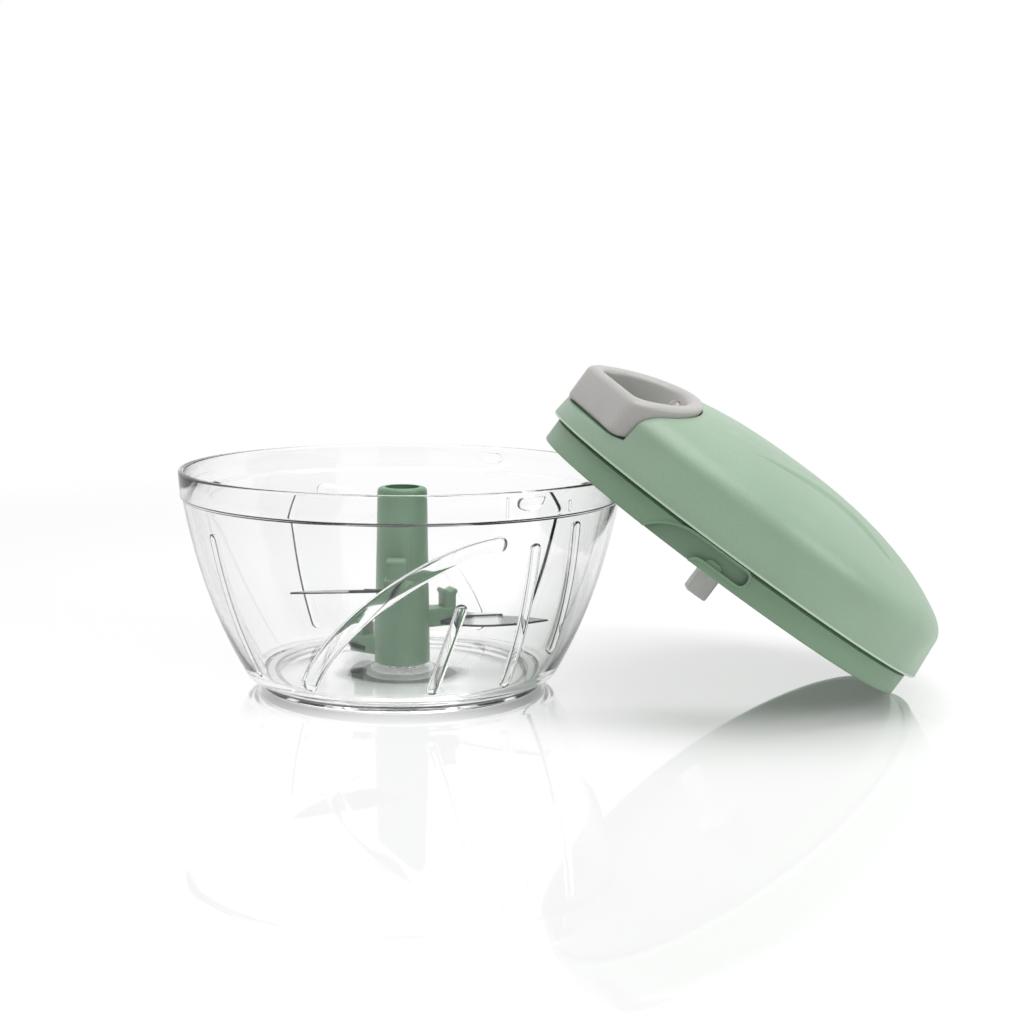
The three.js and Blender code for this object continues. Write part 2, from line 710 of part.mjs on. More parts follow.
function makeHandle() {
  const block = handleBlock(0, handleFace, 0, HANDLE_HEIGHT);
  const holeShape = handleOutline(
    handleFace - HANDLE_BAR,
    HANDLE_HALF_WIDTH - HANDLE_SIDE,
    handleTip + HANDLE_HEEL,
    HANDLE_HOLE_CORNER,
  );
  const hole = prism(holeShape, -coverHeight, 2 * coverHeight);
  const heelInner = handleTip + HANDLE_HEEL;
  const cordHole = alongPull(CORD_RADIUS + GAP, handleTip - OVERRUN, heelInner + OVERRUN);
  const knotSeat = alongPull(KNOT_RADIUS + GAP, knotPlace(-1) - GAP, heelInner + OVERRUN);
  return cut(block, hole, cordHole, knotSeat);
}

// A rod along the pull, at the cord's level
function alongPull(radius, from, to) {
  return rod(radius, from, to).rotate([0, 90, 0]).translate([0, 0, cordLevel]);
}

// The start, middle or end of the knot along the pull
function knotPlace(side) {
  return handleTip + HANDLE_HEEL + KNOT_PROUD - KNOT_RADIUS + side * KNOT_RADIUS;
}

// A solid moved from the lid's axis to the screw circle, at an azimuth from the handle
function atScrew(body, azimuth) {
  return place(body.translate([screwCircle, 0, 0]), HANDLE_AZIMUTH + azimuth);
}

function makeTopCover() {
  const beyond = coverRadius + HANDLE_CORNER;
  const pocket = handleBlock(POCKET_GAP, beyond, -POCKET_GAP, coverHeight);
  const grown = POCKET_GAP + COVER_WALL;
  const lining = handleBlock(grown, beyond, -grown, coverHeight);
  const outer = revolve(coverProfile(0), WIDE_SIDES);
  const hollow = revolve(coverProfile(COVER_WALL), WIDE_SIDES);
  const room = cut(hollow, place(lining, HANDLE_AZIMUTH));
  const bosses = SCREW_AZIMUTHS.map((azimuth) => {
    return atScrew(rod(SCREW_BOSS_RADIUS, plateTop + GAP, coverHeight), azimuth);
  });
  const axleBoss = rod(AXLE_BOSS_RADIUS, spoolTop + AXLE_BOSS_GAP, coverHeight);
  const filled = cut(room, ...bosses, axleBoss);
  const axleHole = rod(AXLE_RADIUS + GAP, 0, coverHeight - COVER_WALL + GAP);
  const holeTop = plateUnder + SCREW_LENGTH + GAP;
  const screwHoles = SCREW_AZIMUTHS.map((azimuth) => {
    return atScrew(rod(SCREW_RADIUS + GAP, 0, holeTop), azimuth);
  });
  const guideRadius = CORD_RADIUS + GAP + GUIDE_WALL + GAP;
  const guideHole = alongPull(guideRadius, guideInner, handleTip);
  return cut(
    outer,
    place(pocket, HANDLE_AZIMUTH),
    filled,
    axleHole,
    ...screwHoles,
    place(guideHole, HANDLE_AZIMUTH),
  );
}

// A solid that stands on the skirt's side at an azimuth, between two radii. Its outline is drawn
// with X along the skirt and Y along the lid's axis.
function onSkirt(shape, azimuth, inner, outer) {
  const reach = coverRadius + OVERRUN;
  const body = prism(shape, inner * Math.cos(rad(SLOT_SPAN)), reach);
  const upright = place(body.rotate([90, 0, 0]).rotate([0, 0, 90]), azimuth);
  return upright.intersect(tube(inner, outer, -coverHeight, coverHeight, WIDE_SIDES));
}

// One bayonet slot in the skirt: a mouth at its lower edge that leads into a closed channel
function slotCutter(azimuth) {
  const half = SLOT_LENGTH / 2;
  const floor = SLOT_LIP - SKIRT_DEPTH;
  const roof = floor + SLOT_HEIGHT;
  const below = -SKIRT_DEPTH - OVERRUN;
  const turn = SLOT_HEIGHT / 2;
  const at = (share) => -half + SLOT_LENGTH * share;
  const shape = new THREE.Shape();
  shape.moveTo(at(0), below);
  shape.quadraticCurveTo(at(ENTRY_SHARES.slope / 2), roof, at(ENTRY_SHARES.mouth), roof);
  shape.lineTo(half - turn, roof);
  shape.quadraticCurveTo(half, roof, half, roof - turn);
  shape.quadraticCurveTo(half, floor, half - turn, floor);
  shape.lineTo(at(ENTRY_SHARES.lip), floor);
  shape.quadraticCurveTo(at(ENTRY_SHARES.mouth), floor, at(ENTRY_SHARES.mouth), below);
  return onSkirt(shape, azimuth, skirtRadius - SLOT_DEPTH, coverRadius);
}

// The wall behind a slot: full height behind its mouth, and to below its channel behind the rest
function slotBack(azimuth) {
  const half = SLOT_LENGTH / 2;
  const mouth = -half + SLOT_LENGTH * ENTRY_SHARES.mouth;
  const low = SLOT_LIP - SKIRT_DEPTH - GAP;
  const shape = outline([
    [-half, -SKIRT_DEPTH],
    [mouth, -SKIRT_DEPTH],
    [mouth, low],
    [half, low],
    [half, plateUnder + GAP],
    [-half, plateUnder + GAP],
  ]);
  const inner = skirtRadius - SLOT_DEPTH - SLOT_WALL;
  return onSkirt(shape, azimuth, inner, skirtRadius - SLOT_DEPTH / 2);
}

function makeLowerHousing() {
  const spigotRadius = coverRadius - COVER_WALL - GAP - SIDE_DRAFT;
  const spigotInner = spigotRadius - SPIGOT_WALL;
  const shell = revolve(
    [
      [0, plateUnder],
      [skirtRadius - SKIRT_WALL, plateUnder],
      [skirtRadius - SKIRT_WALL, -SKIRT_DEPTH],
      [skirtRadius, -SKIRT_DEPTH],
      [skirtRadius, plateUnder],
      [spigotRadius, 0],
      [spigotRadius, plateTop + SPIGOT_RISE],
      [spigotInner, plateTop + SPIGOT_RISE],
      [spigotInner, plateTop],
      [HUB_RADIUS, plateTop],
      [HUB_RADIUS, hubTop],
      [0, hubTop],
    ],
    WIDE_SIDES,
  );
  const boreRadius = JOURNAL_RADIUS + 2 * GAP + BUSH_WALL;
  const bore = rod(boreRadius, plateUnder - OVERRUN, hubTop + OVERRUN, ROUND_SIDES);
  const backs = SLOT_AZIMUTHS.map(slotBack);
  const slots = SLOT_AZIMUTHS.map(slotCutter);
  const hole = rod(SCREW_RADIUS + GAP, plateUnder - OVERRUN, plateTop + OVERRUN);
  const recess = rod(SCREW_HEAD_RADIUS + GAP, plateUnder - OVERRUN, plateUnder + SCREW_RECESS);
  const screwHoles = SCREW_AZIMUTHS.map((azimuth) => atScrew(join(hole, recess), azimuth));
  const grown = POCKET_GAP + COVER_WALL + GAP;
  const notch = handleBlock(grown, coverRadius + HANDLE_CORNER, -grown, coverHeight);
  return cut(join(shell, ...backs), bore, ...slots, ...screwHoles, place(notch, HANDLE_AZIMUTH));
}

function screw(headRadius, headHeight, length) {
  const head = rod(headRadius, -headHeight, 0);
  const slot = squareBar(headRadius, -headHeight - OVERRUN, -headHeight / 2);
  return cut(join(head, rod(SCREW_RADIUS, -headHeight / 4, length)), slot);
}

function makeHousingScrew(index) {
  const seat = plateUnder + SCREW_RECESS - GAP;
  const body = screw(SCREW_HEAD_RADIUS, SCREW_HEAD_HEIGHT, SCREW_LENGTH - SCREW_RECESS);
  return atScrew(body.translate([0, 0, seat]), SCREW_AZIMUTHS[index]);
}

// Cord

// Where the straight cord leaves the spool, and the corner where it turns into the guide
const bendAngle = Math.PI / 2 - Math.acos(windingRadius / guideInner);
const leaveAngle = -(Math.PI / 2 - bendAngle);
const leavePoint = new THREE.Vector3(
  windingRadius * Math.cos(leaveAngle),
  windingRadius * Math.sin(leaveAngle),
  windingTop,
);
const cordCorner = new THREE.Vector3(guideInner, 0, cordLevel);
const leaveWay = cordCorner.clone().sub(leavePoint).normalize();
const windingLength = CORD_TURNS * 2 * Math.PI * windingRadius;
const tailLength = leavePoint.distanceTo(cordCorner) * TAIL_SHARE;

// The turns of the cord on the drum, then its straight tail
class WindingCurve extends THREE.Curve {
  getPoint(t, target = new THREE.Vector3()) {
    const spent = t * (windingLength + tailLength) - windingLength;
    const wound = Math.min(spent, 0) / windingLength;
    const angle = leaveAngle + wound * CORD_TURNS * 2 * Math.PI;
    const height = THREE.MathUtils.lerp(windingTop, windingBottom, -wound);
    target.set(windingRadius * Math.cos(angle), windingRadius * Math.sin(angle), height);
    return target.addScaledVector(leaveWay, Math.max(spent, 0));
  }
}

// The least distance between the surfaces of two turns of the winding, measured on its points
function leastGap(curve, steps, radius) {
  const points = curve.getPoints(steps);
  let least = Infinity;
  for (let i = 0; i < points.length; i += 1) {
    for (let j = i + CORD_LOOP_STEPS / 2; j < points.length; j += 1) {
      least = Math.min(least, points[i].distanceTo(points[j]) - 2 * radius);
    }
  }
  return least;
}

function makeCordWinding() {
  const curve = new WindingCurve();
  const loops = (windingLength + tailLength) / (2 * Math.PI * windingRadius);
  const steps = Math.round(loops * CORD_LOOP_STEPS);
  const gap = leastGap(curve, steps, CORD_RADIUS);
  console.log(`cord winding: least gap to itself ${gap.toFixed(2)} mm`);
  const cord = wire(curve, CORD_RADIUS, CORD_SIDES, steps);
  const within = rod(spoolRadius - SPOOL_FLANGE, 0, coverHeight, WIDE_SIDES);
  return place(cord.intersect(within), HANDLE_AZIMUTH);
}

// The cord from the spool, round the mouth of the guide and out to the handle
function makeCordLead() {
  const setback = CORD_BEND_RADIUS * Math.tan(bendAngle / 2);
  const into = cordCorner.clone().addScaledVector(leaveWay, -setback);
  const out = new THREE.Vector3(guideInner + setback, 0, cordLevel);
  const end = new THREE.Vector3(handleTip - POCKET_GAP, 0, cordLevel);
  const path = new THREE.CurvePath();
  path.add(new THREE.LineCurve3(leavePoint, into));
  path.add(new THREE.QuadraticBezierCurve3(into, cordCorner, out));
  path.add(new THREE.LineCurve3(out, end));
  const cord = wire(path, CORD_RADIUS, CORD_SIDES, 4 * CORD_BEND_STEPS);
  return cut(cord, rod(spoolRadius - SPOOL_FLANGE + GAP, 0, coverHeight, WIDE_SIDES));
}

function makeCordEnd() {
  const stub = alongPull(CORD_RADIUS, handleTip, knotPlace(0));
  const ball = solid(new THREE.SphereGeometry(KNOT_RADIUS, SMALL_SIDES, SMALL_SIDES / 2));
  return join(stub, ball.translate([knotPlace(0), 0, cordLevel]));
}

function makeCordGuide() {
  const bore = CORD_RADIUS + GAP;
  const outer = bore + GUIDE_WALL;
  const end = pocketTip - GAP;
  const throat = guideInner + GUIDE_FLARE;
  const profile = [
    [bore, throat],
    [GUIDE_FLARE_RADIUS, guideInner],
    [GUIDE_FLARE_RADIUS + GUIDE_WALL, guideInner],
    [GUIDE_FLARE_RADIUS, throat - GAP],
    [outer, throat - GAP],
    [outer, end],
    [bore, end],
    [bore, throat],
  ];
  const body = revolve(profile, SMALL_SIDES);
  return body.rotate([0, 90, 0]).translate([0, 0, cordLevel]);
}

// Spool and spring

function makeSpool() {
  const floorTop = spoolBase + SPOOL_FLOOR;
  const shell = revolve(
    [
      [AXLE_RADIUS + GAP, spoolBase],
      [spoolRadius, spoolBase],
      [spoolRadius, grooveBottom],
      [drumRadius, grooveBottom],
      [drumRadius, grooveTop],
      [spoolRadius, grooveTop],
      [spoolRadius, spoolTop],
      [springRoom, spoolTop],
      [springRoom, floorTop],
      [AXLE_RADIUS + GAP, floorTop],
      [AXLE_RADIUS + GAP, spoolBase],
    ],
    ROUND_SIDES,
  );
  const pinHoles = [0, 180].map((turn) => {
    const hole = rod(PAWL_PIN_RADIUS + GAP, spoolBase - OVERRUN, spoolBase + PAWL_PIN_SINK + GAP);
    return place(hole.translate([PAWL_CIRCLE, 0, 0]), turn);
  });
  return cut(shell, ...pinHoles);
}

function makeSpring() {
  const bottom = spoolBase + SPOOL_FLOOR + GAP;
  const inner = AXLE_RADIUS + GAP;
  const outer = springRoom - GAP - SPRING_STRIP;
  const count = SPRING_TURNS * SPRING_STEPS;
  const edge = (offset) => {
    const points = [];
    for (let i = 0; i <= count; i += 1) {
      const angle = (2 * Math.PI * i) / SPRING_STEPS;
      const radius = THREE.MathUtils.lerp(inner, outer, i / count) + offset;
      points.push([radius * Math.cos(angle), radius * Math.sin(angle)]);
    }
    return points;
  };
  const strip = outline([...edge(0), ...edge(SPRING_STRIP).reverse()]);
  return prism(strip, bottom, capBottom - SPRING_SLACK);
}

function makeSpringCap() {
  return tube(CAP_HOLE, springRoom - GAP, capBottom, capTop, ROUND_SIDES);
}

function makeAxle() {
  const bottom = spoolBase - GAP;
  const axle = rod(AXLE_RADIUS, bottom, coverHeight - COVER_WALL);
  return cut(axle, rod(SCREW_RADIUS + GAP, bottom - OVERRUN, bottom + AXLE_SCREW_LENGTH));
}

function makeWasher() {
  const top = spoolBase - 2 * GAP;
  return tube(SCREW_RADIUS + GAP, WASHER_RADIUS, top - WASHER_THICKNESS, top, SMALL_SIDES);
}

function makeAxleScrew() {
  const seat = spoolBase - 3 * GAP - WASHER_THICKNESS;
  const body = screw(SCREW_HEAD_RADIUS, DRIVE_SCREW_HEAD, AXLE_SCREW_LENGTH);
  return body.translate([0, 0, seat]);
}

// Drive

function makeDrivePeg() {
  const flangeBottom = plateUnder - GAP - PEG_FLANGE_HEIGHT;
  const tip = plateUnder - PEG_LENGTH;
  const blunt = squareBar(PEG_SIZE, tip, flangeBottom + GAP);
  const round = revolve(
    [
      [0, tip],
      [PEG_SIZE / 2, tip],
      [PEG_SIZE / Math.SQRT2 - PEG_ROUND / 2, tip + PEG_ROUND],
      [PEG_SIZE / Math.SQRT2 - PEG_ROUND / 2, flangeBottom + GAP],
      [0, flangeBottom + GAP],
    ],
    ROUND_SIDES,
  );
  const flange = rod(PEG_FLANGE_RADIUS, flangeBottom, plateUnder - GAP, ROUND_SIDES);
  const journal = rod(JOURNAL_RADIUS, plateUnder - OVERRUN, cupBottom - GAP, ROUND_SIDES);
  const shank = squareBar(SHANK_SIZE, cupBottom - OVERRUN, shankTop - GAP);
  const hole = rod(SCREW_RADIUS + GAP, shankTop - DRIVE_SCREW_LENGTH - GAP, shankTop + OVERRUN);
  return cut(join(blunt.intersect(round), flange, journal, shank), hole);
}

function makeDriveBush() {
  const inner = JOURNAL_RADIUS + GAP;
  const outer = inner + BUSH_WALL;
  return revolve(
    [
      [inner, plateUnder + GAP],
      [outer, plateUnder + GAP],
      [outer, hubTop + GAP],
      [BUSH_FLANGE_RADIUS, hubTop + GAP],
      [BUSH_FLANGE_RADIUS, bushTop],
      [inner, bushTop],
      [inner, plateUnder + GAP],
    ],
    ROUND_SIDES,
  );
}

// The cup's inner outline: each tooth is steep on the side that the pawls push
function toothedPath() {
  const points = [];
  for (let i = 0; i < TOOTH_COUNT; i += 1) {
    const start = (2 * Math.PI * i) / TOOTH_COUNT;
    const pitch = (2 * Math.PI) / TOOTH_COUNT;
    for (const share of [0, 1 / 2, 1]) {
      const radius = cupInnerRadius - TOOTH_DEPTH * (1 - share);
      const angle = start + pitch * share * TOOTH_SHARE;
      points.push(new THREE.Vector2(radius * Math.cos(angle), radius * Math.sin(angle)));
    }
  }
  return new THREE.Path(points.reverse());
}

function makeClutchCup() {
  const wall = new THREE.Shape();
  wall.absarc(0, 0, CUP_RADIUS, 0, 2 * Math.PI, false);
  wall.holes.push(toothedPath());
  const ring = prism(wall, cupFloorTop - GAP, pawlTop + CUP_RIM, ROUND_SIDES / 2);
  const floor = rod(CUP_RADIUS - GAP, cupBottom, cupFloorTop, ROUND_SIDES);
  const bore = squareBar(SHANK_SIZE + 2 * GAP, cupBottom - OVERRUN, cupFloorTop + OVERRUN);
  return cut(join(floor, ring), bore);
}

function makeDriveScrew() {
  const body = screw(SCREW_HEAD_RADIUS, DRIVE_SCREW_HEAD, DRIVE_SCREW_LENGTH);
  return body.rotate([180, 0, 0]).translate([0, 0, shankTop + GAP]);
}

// A pawl on its pin, its nose in the gap before a tooth's steep side
function makePawl(index) {
  const pitch = (2 * Math.PI) / TOOTH_COUNT;
  const noseRadius = cupInnerRadius - PAWL_SLACK - PAWL_NOSE;
  const noseAngle = pitch - (PAWL_NOSE + PAWL_BACKLASH) / noseRadius;
  const nose = [noseRadius * Math.cos(noseAngle), noseRadius * Math.sin(noseAngle)];
  const reach = [nose[0] - PAWL_CIRCLE, nose[1]];
  const turn = Math.atan2(reach[1], reach[0]);
  const length = Math.hypot(...reach);
  const shape = new THREE.Shape();
  shape.absarc(0, 0, PAWL_RADIUS, Math.PI / 2, -Math.PI / 2, false);
  shape.lineTo(length, -PAWL_NOSE);
  shape.absarc(length, 0, PAWL_NOSE, -Math.PI / 2, Math.PI / 2, false);
  shape.lineTo(0, PAWL_RADIUS);
  const body = prism(shape, pawlBottom, pawlTop);
  const bore = rod(PAWL_PIN_RADIUS + GAP, 0, coverHeight);
  const turned = cut(body, bore).rotate([0, 0, THREE.MathUtils.radToDeg(turn)]);
  const placed = turned.translate([PAWL_CIRCLE, 0, 0]);
  return place(placed, 180 * index);
}

function makePawlPin(index) {
  const pin = rod(PAWL_PIN_RADIUS, pawlBottom, spoolBase + PAWL_PIN_SINK);
  return place(pin.translate([PAWL_CIRCLE, 0, 0]), 180 * index);
}

// Assembly

const chopper = new THREE.Group();

const bowl = new THREE.Group();
bowl.add(piece("bowl", makeBowl(), finishes.clear));
bowl.add(piece("pivot_pin", makePivotPin(), finishes.steel));

const bladeUnit = new THREE.Group();
bladeUnit.add(piece("blade_column", makeColumn(), finishes.darkGreen));
ARM_NAMES.forEach((name, index) => {
  bladeUnit.add(piece(`${name}_blade`, makeBlade(index), finishes.blade));
});

const lid = new THREE.Group();
lid.position.set(lidX, LID_Y, lidZ);
lid.rotation.y = lean;
lid.add(piece("top_cover", makeTopCover(), finishes.green));
lid.add(piece("lower_housing", makeLowerHousing(), finishes.darkGreen));
SCREW_AZIMUTHS.forEach((azimuth, index) => {
  lid.add(piece(`housing_screw_${index + 1}`, makeHousingScrew(index), finishes.steel));
});
lid.add(piece("spool_axle", makeAxle(), finishes.steel));
lid.add(piece("axle_washer", makeWasher(), finishes.steel));
lid.add(piece("axle_screw", makeAxleScrew(), finishes.steel));
lid.add(piece("drive_bush", makeDriveBush(), finishes.white));
lid.add(piece("drive_peg", makeDrivePeg(), finishes.paleGrey));
lid.add(piece("clutch_cup", makeClutchCup(), finishes.white));
lid.add(piece("drive_screw", makeDriveScrew(), finishes.steel));
lid.add(piece("spool", makeSpool(), finishes.white));
lid.add(piece("recoil_spring", makeSpring(), finishes.steel));
lid.add(piece("spring_cap", makeSpringCap(), finishes.white));
lid.add(piece("cord_winding", makeCordWinding(), finishes.cord));
[0, 1].forEach((index) => {
  lid.add(piece(`pawl_${index + 1}`, makePawl(index), finishes.white));
  lid.add(piece(`pawl_pin_${index + 1}`, makePawlPin(index), finishes.steel));
});

const pull = new THREE.Group();
pull.rotation.z = rad(HANDLE_AZIMUTH);
pull.add(piece("pull_handle", makeHandle(), finishes.grey));
pull.add(piece("cord_lead", makeCordLead(), finishes.cord));
pull.add(piece("cord_end", makeCordEnd(), finishes.cord));
pull.add(piece("cord_guide", makeCordGuide(), finishes.steel));
lid.add(pull);

chopper.add(bowl, bladeUnit, lid);

export default chopper;
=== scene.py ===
"""The mini food chopper dressed for the photograph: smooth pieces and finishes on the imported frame.

Sizes are in millimetres and angles in degrees. Each piece is made in its own plain frame, with Z along
its axis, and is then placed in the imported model's frame, which is in metres.
"""

import json
import math

import bmesh
import bpy
from mathutils import Matrix, Vector


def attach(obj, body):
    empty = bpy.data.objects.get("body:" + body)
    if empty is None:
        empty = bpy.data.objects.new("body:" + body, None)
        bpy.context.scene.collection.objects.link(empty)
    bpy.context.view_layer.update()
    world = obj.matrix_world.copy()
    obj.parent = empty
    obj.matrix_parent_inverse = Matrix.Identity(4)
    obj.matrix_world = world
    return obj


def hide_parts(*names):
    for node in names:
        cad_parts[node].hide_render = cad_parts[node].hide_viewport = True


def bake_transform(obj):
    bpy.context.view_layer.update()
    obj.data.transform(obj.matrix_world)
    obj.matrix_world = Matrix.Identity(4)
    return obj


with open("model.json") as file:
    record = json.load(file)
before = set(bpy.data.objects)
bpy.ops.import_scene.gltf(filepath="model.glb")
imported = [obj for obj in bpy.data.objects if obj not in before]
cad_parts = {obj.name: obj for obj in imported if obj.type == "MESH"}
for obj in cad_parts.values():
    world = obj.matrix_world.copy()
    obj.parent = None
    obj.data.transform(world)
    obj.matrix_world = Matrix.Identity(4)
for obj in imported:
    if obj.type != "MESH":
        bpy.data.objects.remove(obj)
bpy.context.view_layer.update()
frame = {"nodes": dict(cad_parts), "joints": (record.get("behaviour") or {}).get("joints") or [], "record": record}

MM = 0.001
FULL_TURN = 2 * math.pi
WELD = 1e-3
SECTOR_DOUBLINGS = 3
SHARP_ANGLE = math.radians(34)
UP = Vector((0, 0, 1))
WHITE = (1, 1, 1, 1)

# Clearance between pieces, how far a cutting shape runs past what it cuts, and the sides of round things
GAP = 0.3
OVERRUN = 1
ROD_STEPS = 48
BOSS_STEPS = 32
HOLE_STEPS = 24

# Camera, as it stood for the photograph
CAMERA_PLACE = (25.33, -488.33, 116.34)
CAMERA_YAW = 0.538
CAMERA_PITCH = 8.064
CAMERA_ROLL = 0.531
SENSOR_WIDTH = 36
LENS = 63.56

# Bowl
BOWL_HEIGHT = 59.4
RIM_RADIUS = 60
RIM_WALL = 1.5
RIM_BAND = 7.2
BAND_TAPER = 0.4
BAND_STEP = 0.6
LEDGE_WIDTH = 1.2
LEDGE_DROP = 0.4
BOWL_WALL = 1.9
BASE_RADIUS = 42.4
BASE_RISE = 3.8
BASE_CHAMFER = 0.6
FLOOR_TOP = 3.8
FLOOR_RADIUS = 38.5
FLOOR_RECESS = 1.3
FOOT_RADIUS = 37.9
FOOT_WIDTH = 2.8
FOOT_SPREAD = 1.2
FOOT_DRAFT = 0.5
PAD_RADIUS = 9
BOSS_RADIUS = 5.5
BOSS_RISE = 0.8
BELLY_SHARES = (0.714, 0.429)
PIN_RADIUS = 2.5
PIN_SINK = 3
BOWL_SOFTNESS = {"foot": 0.5, "band": 0.25, "ledge": 0.3, "floor": 0.6}
BOWL_STEPS = 320
RIM_STEPS = 8
OUTER_ROWS = 20
INNER_ROWS = 28
STRAIGHT_RIB = {"width": 3.0, "rise": 1.2, "curl": 1.0}
SWIRL_RIB = {"width": 4.4, "rise": 1.5, "curl": 1.8}
BAND_SEAM = {"width": 0.9, "rise": 0.45}
BAND_SEAMS = (
    {"azimuth": -61.2, "low": 52.7, "high": 58.0},
    {"azimuth": -41.7, "low": 53.0, "high": 56.0},
)
STRAIGHT_RIBS = (
    {"from": -146, "to": -145, "low": 0.04, "high": 0.89},
    {"from": -77, "to": -70.5, "low": 0.02, "high": 0.6},
    {"from": -48.5, "to": -51, "low": 0.02, "high": 0.89},
    {"from": -30, "to": -37, "low": 0.2, "high": 0.97},
    {"from": 39, "to": 38, "low": 0.04, "high": 0.89},
    {"from": 130.5, "to": 129, "low": 0.04, "high": 0.89},
)
SWIRL_RIBS = (
    {"from": -122, "to": -60, "low": 0.02, "high": 0.9},
    {"from": 58, "to": 120, "low": 0.02, "high": 0.9},
)
RIB_STEPS = 96
RIB_SIDES = 14
RIB_SINK = 0.9
RIB_SQUARENESS = 0.62
RIB_END = 0.12
LUG_AZIMUTHS = (-54, 66, 186)
LUG_WIDTH = 8
LUG_HEIGHT = 3.2
LUG_REACH = 1.5
LUG_DROP = 3.5
LUG_EDGE = 0.5
LUG_STEPS = 8
LUG_POINT_STEPS = 10

# Blade unit
COLUMN_FOOT = 4.9
COLUMN_TOP = 53.9
COLUMN_TOP_RADIUS = 6.8
COLUMN_FOOT_RADIUS = 7.7
COLLAR_HEIGHT = 2.8
COLLAR_GROOVE = 0.35
COLLAR_ROUND = 1.5
COLLAR_STEPS = 6
COLUMN_SOFTNESS = 0.5
COLUMN_ROUND = 0.18
COLUMN_STEPS = 96
BORE_RADIUS = 2.8
BORE_TOP = 27.2
SOCKET_SIZE = 7
SOCKET_DEPTH = 14
MOUTH_RADIUS = 4.7
MOUTH_DEPTH = 1.6
ARM_AZIMUTHS = (-94, 26, 146)
ARM_LEVELS = (26, 14.6, 6.1)
ARM_NAMES = ("upper", "middle", "lower")
ARM_REACH = 16.2
ARM_HEIGHT = 5.4
ARM_WIDTH = 6.4
ARM_ROOT = 5
ARM_ROUND = 0.7
TAB_WIDTH = 4.9
TAB_HEIGHT = 10.5
TAB_LENGTH = 4.6
TAB_INSET = 0.3
TAB_NOTCH = 0.9
TAB_NECK = 0.6
TAB_ROUND = 0.35
STAKE_RADIUS = 1.5
BLADE_THICKNESS = 0.8
BLADE_LIFT = 1.8
BLADE_LENGTHS = (31, 31, 27)
BLADE_WIDTH = 9.5
BLADE_ROOT = 4.2
BLADE_EDGE = 0.25
BLADE_SWEEP = -57
BLADE_RISE = 4
BLADE_PITCH = 8
BLADE_NEAR_SHARES = {"back": 0.4, "belly": 0.35, "drop": 1.45}
BLADE_FAR_SHARES = {"along": 0.72, "back": 1.05, "tip": 0.5}
BLADE_ROOT_STEPS = 12
BLADE_SIDE_STEPS = 24
GRIND_TURN = 14
GRIND_SHARES = {"along": 0.72, "across": 0.42}

# Lid
COVER_RADIUS = 60.2
COVER_HEIGHT = 28
COVER_WALL = 2
SIDE_HEIGHT = 10.5
SIDE_DRAFT = 1.1
SHOULDER_RADIUS = 54
SHOULDER_HEIGHT = 17.2
CROWN_SHARES = (0.63, 1.015)
LIP_CHAMFER = 0.5
LIP_STEPS = 4
SIDE_ROWS = 4
SHOULDER_ROWS = 14
DOME_ROWS = 72
HOLLOW_ROWS = 12
COVER_STEPS = 512
HOLLOW_STEPS = 160
CRESCENT = {
    "from": -27, "to": 32, "near": -38.6, "far": -34.6, "bow": 2.2, "width": 8.5, "depth": 0.8,
    "skew": 1.7, "fullness": 1.2, "slope": 1.1,
}
AXLE_RADIUS = 2.5
AXLE_BOSS_RADIUS = 4.8
AXLE_BOSS_LEVEL = 23.55
GUIDE_SEAT = {"radius": 2.6, "start": 24.6}
SKIRT_RADIUS = 58
SKIRT_WALL = 1.8
SKIRT_DEPTH = 7.1
SKIRT_SOFTNESS = 0.5
PLATE_THICKNESS = 2.2
PLATE_DROP = 1
SPIGOT_RISE = 4.5
SPIGOT_WALL = 1.6
HUB_RADIUS = 7.6
HUB_RISE = 2.5
HUB_BORE = 5.9
SKIRT_STEPS = 256
SLOT_AZIMUTHS = (-107.5, 12.5, 132.5)
SLOT_HEIGHT = 3.8
SLOT_LIP = 2.3
SLOT_LENGTH = 29.4
SLOT_DEPTH = 1.5
SLOT_WALL = 1
SLOT_SPAN = 18
SLOT_SHARES = {"entry": 0.66, "lip": 0.24}
SLOT_STEPS = {"entry": 16, "end": 8, "lip": 10}
BEAD_WIDTH = 0.7
BEAD_RISE = 0.25
BEAD_TRIM = 4
DETENT = {"start": 3.7, "end": 8.3, "rise": 1.3, "lean": 0.4, "ramp": 1.5, "sink": 0.5, "proud": 0.9}
DETENT_STEPS = 6
SCREW_AZIMUTHS = (60, 140, 220, 300)
SCREW_CIRCLE = 46
SCREW_HEAD_RADIUS = 2.8
SCREW_RADIUS = 1.2
SCREW_RECESS = 1.6
SCREW_HOLE = (0.5, 9.3)
SCREW_BOSS_RADIUS = 3.4

# Drive peg
PEG_SIZE = 6.4
PEG_LENGTH = 16.6
PEG_ROUND = 0.7
PEG_FLANGE_RADIUS = 6.5
PEG_FLANGE_HEIGHT = 1.3
PEG_FLANGE_SOFTNESS = 0.3
PEG_FLANGE_STEPS = 64
JOURNAL_RADIUS = 4
JOURNAL_TOP = 4.5
SHANK_SIZE = 5
SHANK_SPAN = (4, 6.5)
DRIVE_SCREW_HOLE = (0.2, 8)

